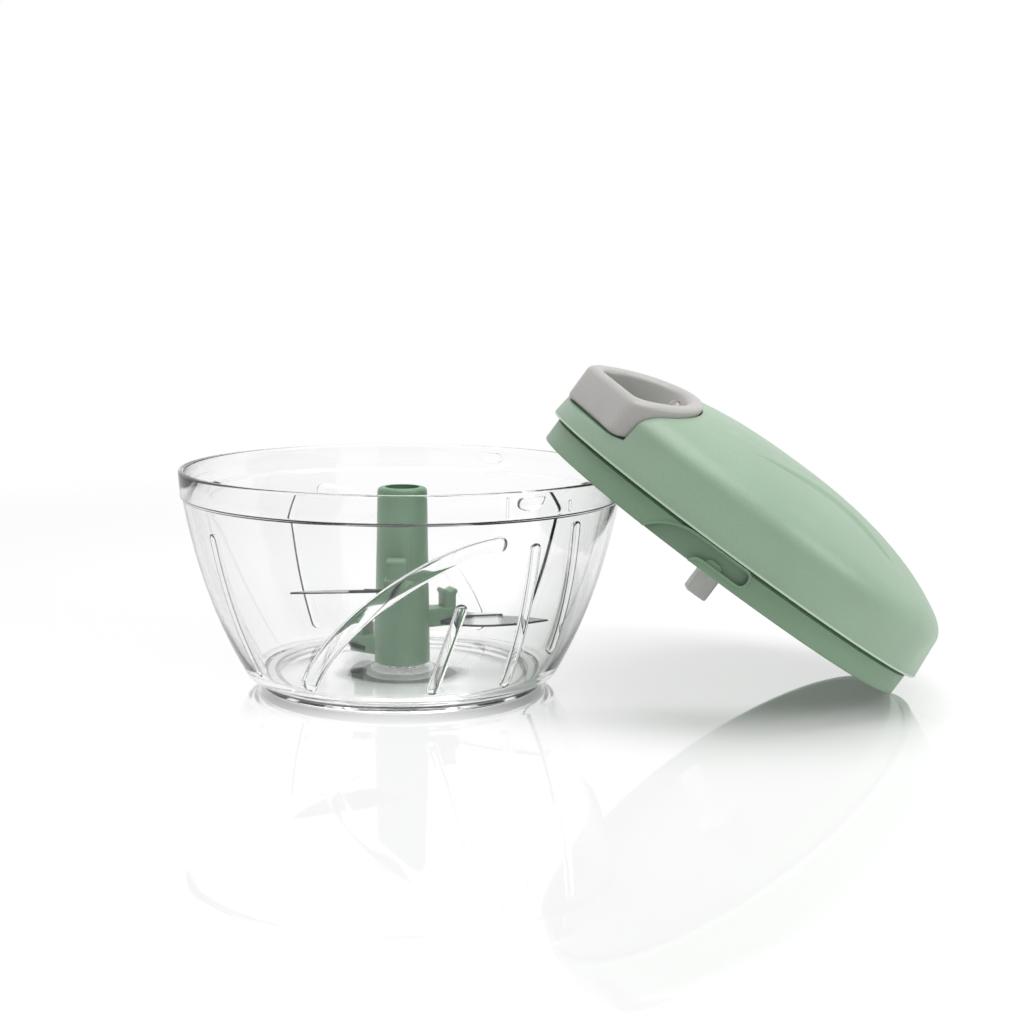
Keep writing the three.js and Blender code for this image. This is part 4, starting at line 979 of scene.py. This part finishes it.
def make_arm(index):
    """An arm with its tab, slotted for its blade, in its place on the column."""
    beam = side_prism(
        [(ARM_ROOT, 0), (ARM_REACH, 0), (ARM_REACH, ARM_HEIGHT - TAB_INSET), (ARM_ROOT, ARM_HEIGHT)],
        ARM_WIDTH,
    )
    back = ARM_REACH - TAB_LENGTH - TAB_INSET
    front = back + TAB_LENGTH
    head = TAB_HEIGHT - TAB_NOTCH
    tab = side_prism(
        [(back + TAB_NECK, ARM_HEIGHT / 2), (front - TAB_NECK, ARM_HEIGHT / 2),
         (front - TAB_NECK, head - TAB_NOTCH), (front, head), (front - TAB_NECK, TAB_HEIGHT),
         ((back + front) / 2, head), (back + TAB_NECK, TAB_HEIGHT), (back, head),
         (back + TAB_NECK, head - TAB_NOTCH)],
        TAB_WIDTH,
    )
    arm = join(rounded_edges(beam, ARM_ROUND), rounded_edges(tab, TAB_ROUND, least=20))
    moved(arm, Matrix.Translation((0, 0, ARM_LEVELS[index])) @ turn(ARM_AZIMUTHS[index]))
    half = BLADE_THICKNESS / 2 + GAP
    slot = cut(prism(blade_outline(BLADE_LENGTHS[index], GAP), -half, half), stake(0))
    return cut(arm, moved(slot, blade_seat(index)))


def make_column():
    collar = COLUMN_TOP - COLLAR_HEIGHT
    profile = soften(
        [(0, COLUMN_FOOT), (COLUMN_FOOT_RADIUS, COLUMN_FOOT), (COLUMN_TOP_RADIUS, collar - COLLAR_GROOVE),
         (COLUMN_TOP_RADIUS - COLLAR_GROOVE, collar), (COLUMN_TOP_RADIUS, collar + COLLAR_GROOVE)],
        COLUMN_SOFTNESS,
    )
    corner = Vector((COLUMN_TOP_RADIUS, COLUMN_TOP))
    inset = Vector((COLLAR_ROUND, 0))
    drop = Vector((0, COLLAR_ROUND))
    profile += bend(corner - drop, corner, corner - inset, COLLAR_STEPS)
    shell = spun([*profile, Vector((0, COLUMN_TOP))], COLUMN_STEPS)
    whole = join(shell, *[make_arm(index) for index in range(len(ARM_LEVELS))])
    above = COLUMN_TOP + OVERRUN
    bore = rod(BORE_RADIUS, COLUMN_FOOT - OVERRUN, BORE_TOP)
    socket = prism(square(SOCKET_SIZE), COLUMN_TOP - SOCKET_DEPTH, above)
    mouth = rod(MOUTH_RADIUS, COLUMN_TOP - MOUTH_DEPTH, above)
    column = rounded_edges(cut(whole, bore, socket, mouth), COLUMN_ROUND, segments=2, least=50)
    # The column is finished in a darker copy of the housing's green: painted shade
    dress("blade_column_moulding", column, bowl_place, "blade_unit", "housing_green", "blade_column",
          finish="column_shaded_green")


# Handle

def handle_outline(face, half_width, tip, corner, front=None):
    """The handle's outline seen along the lid's axis, its face drawn out to the front given."""
    front = face if front is None else front
    back = front - corner
    high = half_width - corner
    shoulder = tip + (face - tip) * HANDLE_SHOULDER_SHARE
    side = tip + (shoulder - tip) * HANDLE_TIP_SHARES["side"]
    nose = half_width * HANDLE_TIP_SHARES["tip"]
    steps = HANDLE_SIDE_STEPS
    points = bend((front, high), (front, half_width), (back, half_width), HANDLE_CORNER_STEPS)
    points += sweep_curve((shoulder, half_width), (side, half_width), (tip, nose), (tip, 0), steps)
    points += sweep_curve((tip, 0), (tip, -nose), (side, -half_width), (shoulder, -half_width), steps)
    points += bend((back, -half_width), (front, -half_width), (front, -high), HANDLE_CORNER_STEPS)
    return points


def handle_base(x):
    """The level of the handle's underside, which rises inwards."""
    return HANDLE_BASE + (HANDLE_FACE - x) * HANDLE_SLOPE


def evenly(points, count):
    """The closed outline with this many points spread evenly along it."""
    ring = [Vector(point) for point in points] + [Vector(points[0])]
    runs = [(b - a).length for a, b in zip(ring, ring[1:])]
    step = sum(runs) / count
    spread = []
    index = 0
    passed = 0.0
    for number in range(count):
        while passed + runs[index] < number * step:
            passed += runs[index]
            index += 1
        share = (number * step - passed) / runs[index]
        spread.append(ring[index].lerp(ring[index + 1], share))
    return spread


def tilt_with_handle(shape):
    """Leans a flat shape so that it rises inwards as the handle does."""
    for vert in shape.verts:
        vert.co.z += handle_base(vert.co.x)
    return shape


def make_handle():
    shape = bmesh.new()
    loops = []
    outer = handle_outline(HANDLE_FACE, HANDLE_HALF_WIDTH, HANDLE_TIP, HANDLE_CORNER)
    hole = handle_outline(
        HANDLE_FACE - HANDLE_BAR, HANDLE_HALF_WIDTH - HANDLE_SIDE, HANDLE_TIP + HANDLE_HEEL,
        HANDLE_HOLE_CORNER,
    )
    for outline in (outer, hole):
        ring = [shape.verts.new((x, y, 0)) for x, y in evenly(outline, HANDLE_LOOP_POINTS)]
        loops += [shape.edges.new(pair) for pair in zip(ring, ring[1:] + ring[:1])]
    faces = bmesh.ops.bridge_loops(shape, edges=loops)["faces"]
    made = bmesh.ops.extrude_face_region(shape, geom=faces, use_keep_orig=True)
    bmesh.ops.translate(shape, verts=verts_of(made), vec=UP * HANDLE_HEIGHT)
    bmesh.ops.recalc_face_normals(shape, faces=shape.faces)
    rounded_edges(shape, HANDLE_ROUND, segments=5, least=60)
    tilt_with_handle(shape)
    beyond = HANDLE_TIP + HANDLE_HEEL + 2 * OVERRUN
    cord_hole = along_pull(rod(CORD_RADIUS + GAP, HANDLE_TIP - 2 * OVERRUN, beyond))
    knot_seat = along_pull(rod(KNOT_SEAT, HANDLE_TIP + KNOT_START - GAP, beyond))
    handle = cut(shape, cord_hole, knot_seat)
    dress("handle_ring", handle, handle_place, "handle", "handle_grey", "pull_handle")


def along_pull(shape):
    """Lays a shape made along Z on the cord's line, outwards along the pull."""
    return moved(shape, Matrix.Translation((0, 0, CORD_LEVEL)) @ turn(90, "Y"))


# Lid shells

plate_top = PLATE_THICKNESS - PLATE_DROP
slot_floor = SLOT_LIP - SKIRT_DEPTH
slot_inner = SKIRT_RADIUS - SLOT_DEPTH


def cover_profile(inset):
    """The outside of the cover, or its inside when it is set in by the wall."""
    lip = COVER_RADIUS - inset
    side = lip - SIDE_DRAFT
    side_top = SIDE_HEIGHT - inset / 2
    top = COVER_HEIGHT - inset
    shoulder = (SHOULDER_RADIUS - inset / 2, SHOULDER_HEIGHT - inset)
    crown = (shoulder[0] * CROWN_SHARES[0], top * CROWN_SHARES[1])
    slope = (crown[1] - shoulder[1]) / (shoulder[0] - crown[0])
    corner = (side, shoulder[1] - (side - shoulder[0]) * slope)
    if inset:
        start = [Vector((0, -OVERRUN)), Vector((lip, -OVERRUN))]
    else:
        start = [Vector((0, 0)), *bend((lip - LIP_CHAMFER, 0), (lip, 0), (lip, LIP_CHAMFER), LIP_STEPS)]
    low = Vector((lip, LIP_CHAMFER))
    wall = [low.lerp(Vector((side, side_top)), row / SIDE_ROWS) for row in range(1, SIDE_ROWS)]
    rise = bend((side, side_top), corner, shoulder, SHOULDER_ROWS)
    dome = bend(shoulder, crown, (0, top), HOLLOW_ROWS if inset else DOME_ROWS)
    return start + wall + rise + dome[1:]


def press_crescent(shape):
    """Presses a shallow crescent into the dome, the only relief on the cover's plain top."""
    start, end = CRESCENT["from"], CRESCENT["to"]
    for vert in shape.verts:
        share = (vert.co.x - start) / (end - start)
        if vert.co.z < SHOULDER_HEIGHT or not 0 < share < 1:
            continue
        outer = CRESCENT["near"] + (CRESCENT["far"] - CRESCENT["near"]) * share
        outer += CRESCENT["bow"] * math.sin(math.pi * share)
        width = CRESCENT["width"] * math.sin(math.pi * share ** CRESCENT["skew"]) ** CRESCENT["fullness"]
        depth = min(vert.co.y - outer, (outer + width - vert.co.y) / 2)
        vert.co.z -= CRESCENT["depth"] * ease(depth / CRESCENT["slope"])
    return shape


def at_screws(radius, bottom, top, steps):
    """A rod at each of the housing screws."""
    places = [turn(HANDLE_AZIMUTH + azimuth) for azimuth in SCREW_AZIMUTHS]
    aside = Matrix.Translation((SCREW_CIRCLE, 0, 0))
    return [moved(rod(radius, bottom, top, steps), place @ aside) for place in places]


def handle_room(gap):
    """What the cover and housing leave free for the handle, out past the lid's side."""
    wide = HANDLE_HALF_WIDTH + gap
    front = COVER_RADIUS + HANDLE_CORNER
    outline = handle_outline(HANDLE_FACE, wide, HANDLE_TIP - gap, HANDLE_CORNER, front)
    return moved(tilt_with_handle(prism(outline, -gap, COVER_HEIGHT)), turn(HANDLE_AZIMUTH))


def make_cover():
    outer = press_crescent(spun(cover_profile(0), COVER_STEPS))
    hollow = spun(cover_profile(COVER_WALL), HOLLOW_STEPS)
    bosses = at_screws(SCREW_BOSS_RADIUS, plate_top + GAP, COVER_HEIGHT, BOSS_STEPS)
    axle_boss = rod(AXLE_BOSS_RADIUS, AXLE_BOSS_LEVEL, COVER_HEIGHT, BOSS_STEPS)
    room = cut(hollow, handle_room(POCKET_GAP + COVER_WALL), *bosses, axle_boss)
    holes = at_screws(SCREW_RADIUS + GAP, *SCREW_HOLE, HOLE_STEPS)
    guide = along_pull(rod(GUIDE_SEAT["radius"], GUIDE_SEAT["start"], HANDLE_TIP, BOSS_STEPS))
    axle = rod(AXLE_RADIUS + GAP, 0, COVER_HEIGHT - COVER_WALL + GAP, BOSS_STEPS)
    cover = cut(outer, handle_room(POCKET_GAP), room, axle, *holes, moved(guide, turn(HANDLE_AZIMUTH)))
    dress("cover_shell", cover, lid_place, "lid", "lid_green", "top_cover")


def slot_outline(grow):
    """One bayonet slot: a mouth at the skirt's lower edge that leads into a closed channel."""
    half = SLOT_LENGTH / 2
    floor = slot_floor - grow
    roof = slot_floor + SLOT_HEIGHT + grow
    below = -SKIRT_DEPTH - OVERRUN
    left = -half - grow
    right = half + grow
    radius = (roof - floor) / 2
    steps = SLOT_STEPS["end"]
    points = bend((left, below), (left * SLOT_SHARES["entry"], roof), (-grow, roof), SLOT_STEPS["entry"])
    points += bend((right - radius, roof), (right, roof), (right, roof - radius), steps)
    points += bend((right, floor + radius), (right, floor), (right - radius, floor), steps)[1:]
    points += bend((half * SLOT_SHARES["lip"], floor), (grow, floor), (grow, below), SLOT_STEPS["lip"])
    return points


def on_skirt(points, azimuth, inner, outer):
    """A solid on the skirt's side between two radii, from an outline along it and up the lid's axis."""
    reach = inner * math.cos(math.radians(SLOT_SPAN))
    block = prism(points, reach, COVER_RADIUS + OVERRUN)
    standing = moved(block, turn(azimuth) @ turn(90) @ turn(90, "X"))
    ring = tube(inner, outer, -COVER_HEIGHT, COVER_HEIGHT, SKIRT_STEPS)
    return combined(standing, "INTERSECT", ring)


def detent(azimuth):
    """The small stop on a slot's lower edge, which a lug rides over before it is home."""
    crown = slot_floor + DETENT["rise"]
    start, end = DETENT["start"], DETENT["end"]
    lean, ramp = DETENT["lean"], DETENT["ramp"]
    points = [(start, slot_floor - DETENT["sink"]), (end, slot_floor - DETENT["sink"])]
    points += bend((end, slot_floor), (end - lean, crown), (end - ramp, crown), DETENT_STEPS)
    points += bend((start + ramp, crown), (start + lean, crown), (start, slot_floor), DETENT_STEPS)
    return on_skirt(points, azimuth, slot_inner - SLOT_WALL / 2, slot_inner + DETENT["proud"])


def slot_bead(azimuth):
    """The raised edge round a slot, trimmed level with the skirt's lower edge."""
    bead = on_skirt(slot_outline(BEAD_WIDTH), azimuth, slot_inner, SKIRT_RADIUS + BEAD_RISE)
    below = tube(SKIRT_RADIUS - BEAD_TRIM, COVER_RADIUS, -COVER_HEIGHT, -SKIRT_DEPTH, SKIRT_STEPS)
    return cut(bead, below)


def slot_back(azimuth):
    """The wall behind a slot, which closes it towards the inside of the skirt."""
    half = SLOT_LENGTH / 2
    low = slot_floor - GAP
    top = GAP - PLATE_DROP
    points = [(-half, -SKIRT_DEPTH), (0, -SKIRT_DEPTH), (0, low), (half, low), (half, top), (-half, top)]
    return on_skirt(points, azimuth, slot_inner - SLOT_WALL, SKIRT_RADIUS - SLOT_DEPTH / 2)


def slot_room(azimuth):
    """What is cut away for a slot, as deep as its channel."""
    return on_skirt(slot_outline(0), azimuth, slot_inner, COVER_RADIUS)


def at_slots(make):
    return [make(azimuth) for azimuth in SLOT_AZIMUTHS]


def make_housing():
    spigot = COVER_RADIUS - COVER_WALL - GAP - SIDE_DRAFT
    hub_top = plate_top + HUB_RISE
    skirt = soften(
        [(SKIRT_RADIUS - SKIRT_WALL, -PLATE_DROP), (SKIRT_RADIUS - SKIRT_WALL, -SKIRT_DEPTH),
         (SKIRT_RADIUS, -SKIRT_DEPTH), (SKIRT_RADIUS, -PLATE_DROP)],
        SKIRT_SOFTNESS, steps=4,
    )
    profile = [
        (HUB_BORE, -PLATE_DROP), *skirt, (spigot, 0), (spigot, plate_top + SPIGOT_RISE),
        (spigot - SPIGOT_WALL, plate_top + SPIGOT_RISE), (spigot - SPIGOT_WALL, plate_top),
        (HUB_RADIUS, plate_top), (HUB_RADIUS, hub_top), (HUB_BORE, hub_top),
    ]
    shell = spun([Vector(point) for point in profile], SKIRT_STEPS, closed=True)
    filled = join(shell, *at_slots(slot_back), *at_slots(slot_bead))
    below = -PLATE_DROP - OVERRUN
    holes = at_screws(SCREW_RADIUS + GAP, below, plate_top + OVERRUN, BOSS_STEPS)
    holes += at_screws(SCREW_HEAD_RADIUS + GAP, below, SCREW_RECESS - PLATE_DROP, BOSS_STEPS)
    notch = handle_room(POCKET_GAP + COVER_WALL + GAP)
    housing = join(cut(filled, *at_slots(slot_room), *holes, notch), *at_slots(detent))
    dress("housing_shell", housing, lid_place, "lid", "housing_green", "lower_housing")


# Drive peg

def make_peg():
    flange_top = -PLATE_DROP - GAP
    flange_bottom = flange_top - PEG_FLANGE_HEIGHT
    bar = prism(square(PEG_SIZE), -PLATE_DROP - PEG_LENGTH, flange_bottom + GAP)
    flange = soften(
        [(0, flange_bottom), (PEG_FLANGE_RADIUS, flange_bottom), (PEG_FLANGE_RADIUS, flange_top),
         (0, flange_top)],
        PEG_FLANGE_SOFTNESS,
    )
    journal = rod(JOURNAL_RADIUS, -PLATE_DROP - OVERRUN, JOURNAL_TOP)
    shank = prism(square(SHANK_SIZE), *SHANK_SPAN)
    whole = join(rounded_edges(bar, PEG_ROUND, segments=4), spun(flange, PEG_FLANGE_STEPS), journal, shank)
    peg = cut(whole, rod(SCREW_RADIUS + GAP, *DRIVE_SCREW_HOLE, HOLE_STEPS))
    dress("drive_peg_moulding", peg, lid_place, "drive", "peg_grey", "drive_peg")


# Cord, in the handle's frame

def braided(line, radius):
    """A braided cord with closed ends, along a line of (spot, up) points at the cord's own spacing."""
    circle = []
    for side in range(BRAID_SIDES):
        angle = FULL_TURN * side / BRAID_SIDES
        circle.append((radius * math.cos(angle), radius * math.sin(angle)))
    frames = frames_along(line)
    shape = swept(circle, frames)
    for number, vert in enumerate(shape.verts):
        station = number // BRAID_SIDES
        local = frames[station].inverted() @ vert.co
        angle = math.atan2(local.y, local.x)
        lay = FULL_TURN * station * CORD_SPACING / BRAID_PITCH
        strand = max(abs(math.cos(BRAID_STRANDS * angle + lay)), abs(math.cos(BRAID_STRANDS * angle - lay)))
        vert.co = frames[station] @ (local * (1 - BRAID_DEPTH * (1 - strand)))
    return shape


def upright(path):
    return [(spot, UP) for spot in path]


def winding_points():
    """The cord's turns on the drum, up to where it leaves for the guide."""
    leave = -math.acos(WINDING_RADIUS / GUIDE_MOUTH)
    count = round(CORD_TURNS * FULL_TURN * WINDING_RADIUS / CORD_SPACING)
    turns = []
    for step in range(count + 1):
        share = step / count
        angle = leave - (1 - share) * CORD_TURNS * FULL_TURN
        height = WINDING_BOTTOM + (WINDING_TOP - WINDING_BOTTOM) * share
        turns.append(Vector((WINDING_RADIUS * math.cos(angle), WINDING_RADIUS * math.sin(angle), height)))
    return turns


def straight(start, end, spacing=CORD_SPACING):
    count = max(1, round((end - start).length / spacing))
    return [start.lerp(end, step / count) for step in range(count + 1)]


def make_cord(name, line, radius, body, node=None):
    """A braided cord along a line in the handle's frame, as a piece that rides on a body."""
    return dress(name, braided(line, radius), handle_place, body, "cord", node)


def knot_line(start):
    """The cord's end, coiled up along the pull."""
    line = upright(straight(start, start + Vector((KNOT_LEAD, 0, 0))))
    for step in range(KNOT_TURNS * KNOT_STEPS + 1):
        angle = FULL_TURN * step / KNOT_STEPS
        out = Vector((0, math.sin(angle), math.cos(angle)))
        along = start.x + KNOT_SETBACK + step / KNOT_STEPS * KNOT_PITCH
        line.append((Vector((along, 0, CORD_LEVEL)) + out * KNOT_COIL, out))
    return line


def make_cords():
    turns = winding_points()
    mouth = Vector((GUIDE_MOUTH, 0, CORD_LEVEL))
    way = (mouth - turns[-1]).normalized()
    reach = math.sqrt((SPOOL_RADIUS - CORD_RADIUS) ** 2 - WINDING_RADIUS ** 2)
    rim = turns[-1] + way * reach
    wound = upright(turns + straight(turns[-1], rim)[1:])
    make_cord("wound_cord", wound, CORD_RADIUS, "spool", "cord_winding")
    throat = Vector((GUIDE_THROAT, 0, CORD_LEVEL))
    into = mouth - way * GUIDE_BEND
    out = mouth + Vector((GUIDE_BEND, 0, 0))
    lead = straight(rim + way * GAP, into)[:-1] + bend(into, mouth, out, GUIDE_BEND_STEPS)
    make_cord("cord_run", upright(lead + straight(out, throat)[1:]), CORD_RADIUS, "lid", "cord_lead")
    knot_start = Vector((HANDLE_TIP + KNOT_START, 0, CORD_LEVEL))
    # Its points lie close together at rest, because the pull draws them apart
    pull_line = upright(straight(throat, knot_start, PULL_SPACING))
    pull_cord = make_cord("pull_cord", pull_line, CORD_RADIUS, None)
    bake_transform(pull_cord)
    make_cord("cord_knot", knot_line(knot_start), KNOT_CORD, "handle", "cord_end")


# Light and stage

def make_floor():
    """A white gloss floor that keeps the object's shadow and fades to plain white further off."""
    shape = bmesh.new()
    bmesh.ops.create_grid(shape, x_segments=FLOOR_CELLS, y_segments=FLOOR_CELLS, size=FLOOR_SIZE)
    floor = as_object("floor", shape)
    material, board, skin = start_finish("floor")
    board.tree.nodes.remove(skin)
    matte = board.node("BsdfDiffuse", {}, {"Color": FLOOR_COLOUR})
    bounce = board.node("BsdfDiffuse", {}, {"Color": FLOOR_BOUNCE})
    lit = board.node("AddShader", {}, {0: matte, 1: board.light("Emission", FLOOR_GLOW)})
    white = board.light("Emission", 1.0)
    off = board.length(board.place())
    faded = board.node("MixShader", {}, {0: board.span(off, *FLOOR_FADE), 1: lit, 2: white})
    rays = board.light_path()
    seen = rays["Is Camera Ray"] + rays["Is Transmission Ray"]
    base = board.node("MixShader", {}, {0: seen, 1: bounce, 2: faded})
    mirror = board.node("BsdfGlossy", {}, {"Color": WHITE, "Roughness": FLOOR_ROUGHNESS})
    nearer = 0 - board.along(board.place(), "Y")
    share = board.span(nearer, *MIRROR_FADE, *MIRROR_SHARES) * board.span(off, *FLOOR_FADE, 1, 0)
    share = share * board.span(off, *BOWL_STAND, UNDER_BOWL, 1)
    share = share * board.span(nearer, *BEHIND_FADE, BEHIND, 1)
    surface = board.node("MixShader", {}, {0: share, 1: base, 2: mirror})
    board.feed(board.tree.nodes["Material Output"].inputs["Surface"], surface)
    floor.data.materials.append(material)


def make_world():
    """Soft light all round, plain white where the camera, gloss or clear plastic sees it."""
    world = bpy.data.worlds.new("studio")
    world.use_nodes = True
    bpy.context.scene.world = world
    tree = world.node_tree
    board = Board(tree)
    rays = board.light_path()
    seen = rays["Is Camera Ray"] + rays["Is Transmission Ray"] + rays["Is Glossy Ray"]
    soft = board.light("Background", WORLD_LIGHT)
    shown = board.node("MixShader", {}, {0: seen, 1: soft, 2: board.light("Background", 1.0)})
    board.feed(tree.nodes["World Output"].inputs["Surface"], shown)


def make_lamp(name, place, size, power):
    light = bpy.data.lights.new(name, "AREA")
    light.shape = "RECTANGLE"
    light.size, light.size_y = size
    light.energy = power
    lamp = add_object(name, light)
    spot = Vector(place)
    aimed = (Vector(LAMP_AIM) - spot).to_track_quat("-Z", "Y").to_matrix().to_4x4()
    lamp.matrix_world = Matrix.Translation(spot) @ aimed


# Assembly

def dress_carried_nodes():
    """Gives each CAD node that stays its finish, by the record's own material slots."""
    for entry in frame["record"]["subparts"]:
        node = frame["nodes"][entry["node"]]
        node.data.materials.clear()
        node.data.materials.append(finishes[entry["material_slot"]])


finishes = {
    "clear_plastic": clear_plastic(),
    "lid_green": moulded_plastic("lid_green", (147, 173, 149), 0.38, painted_lip_highlight),
    # The housing is likely the same plastic as the cover; its darker green is painted shade for its
    # downward-facing sides
    "housing_green": moulded_plastic("housing_green", (126, 156, 129), 0.4, painted_slot_shade),
    # A darker copy of the housing's green for the column moulding: painted shade
    "column_shaded_green": moulded_plastic("column_shaded_green", (107, 146, 113), 0.36),
    "handle_grey": moulded_plastic("handle_grey", (178, 176, 173), 0.34),
    "peg_grey": moulded_plastic("peg_grey", (232, 231, 227), 0.4),
    "white_plastic": moulded_plastic("white_plastic", (226, 223, 216), 0.45),
    "blade_steel": brushed_steel(
        "blade_steel", (158, 160, 163), 0.16, (1, 0.06, 1), blade_painted_reflections, painted_glint_stretch
    ),
    "steel": brushed_steel("steel", (165, 166, 168), 0.3, (1, 1, 0.08)),
    "cord": braided_fibre(),
}
make_camera()
dress_carried_nodes()
make_bowl()
for index in range(len(ARM_NAMES)):
    make_blade(index)
make_column()
make_cover()
make_housing()
make_handle()
make_peg()
make_cords()
make_floor()
make_world()
for lamp in LAMPS:
    make_lamp(**lamp)
bpy.context.scene.view_settings.view_transform = "Standard"
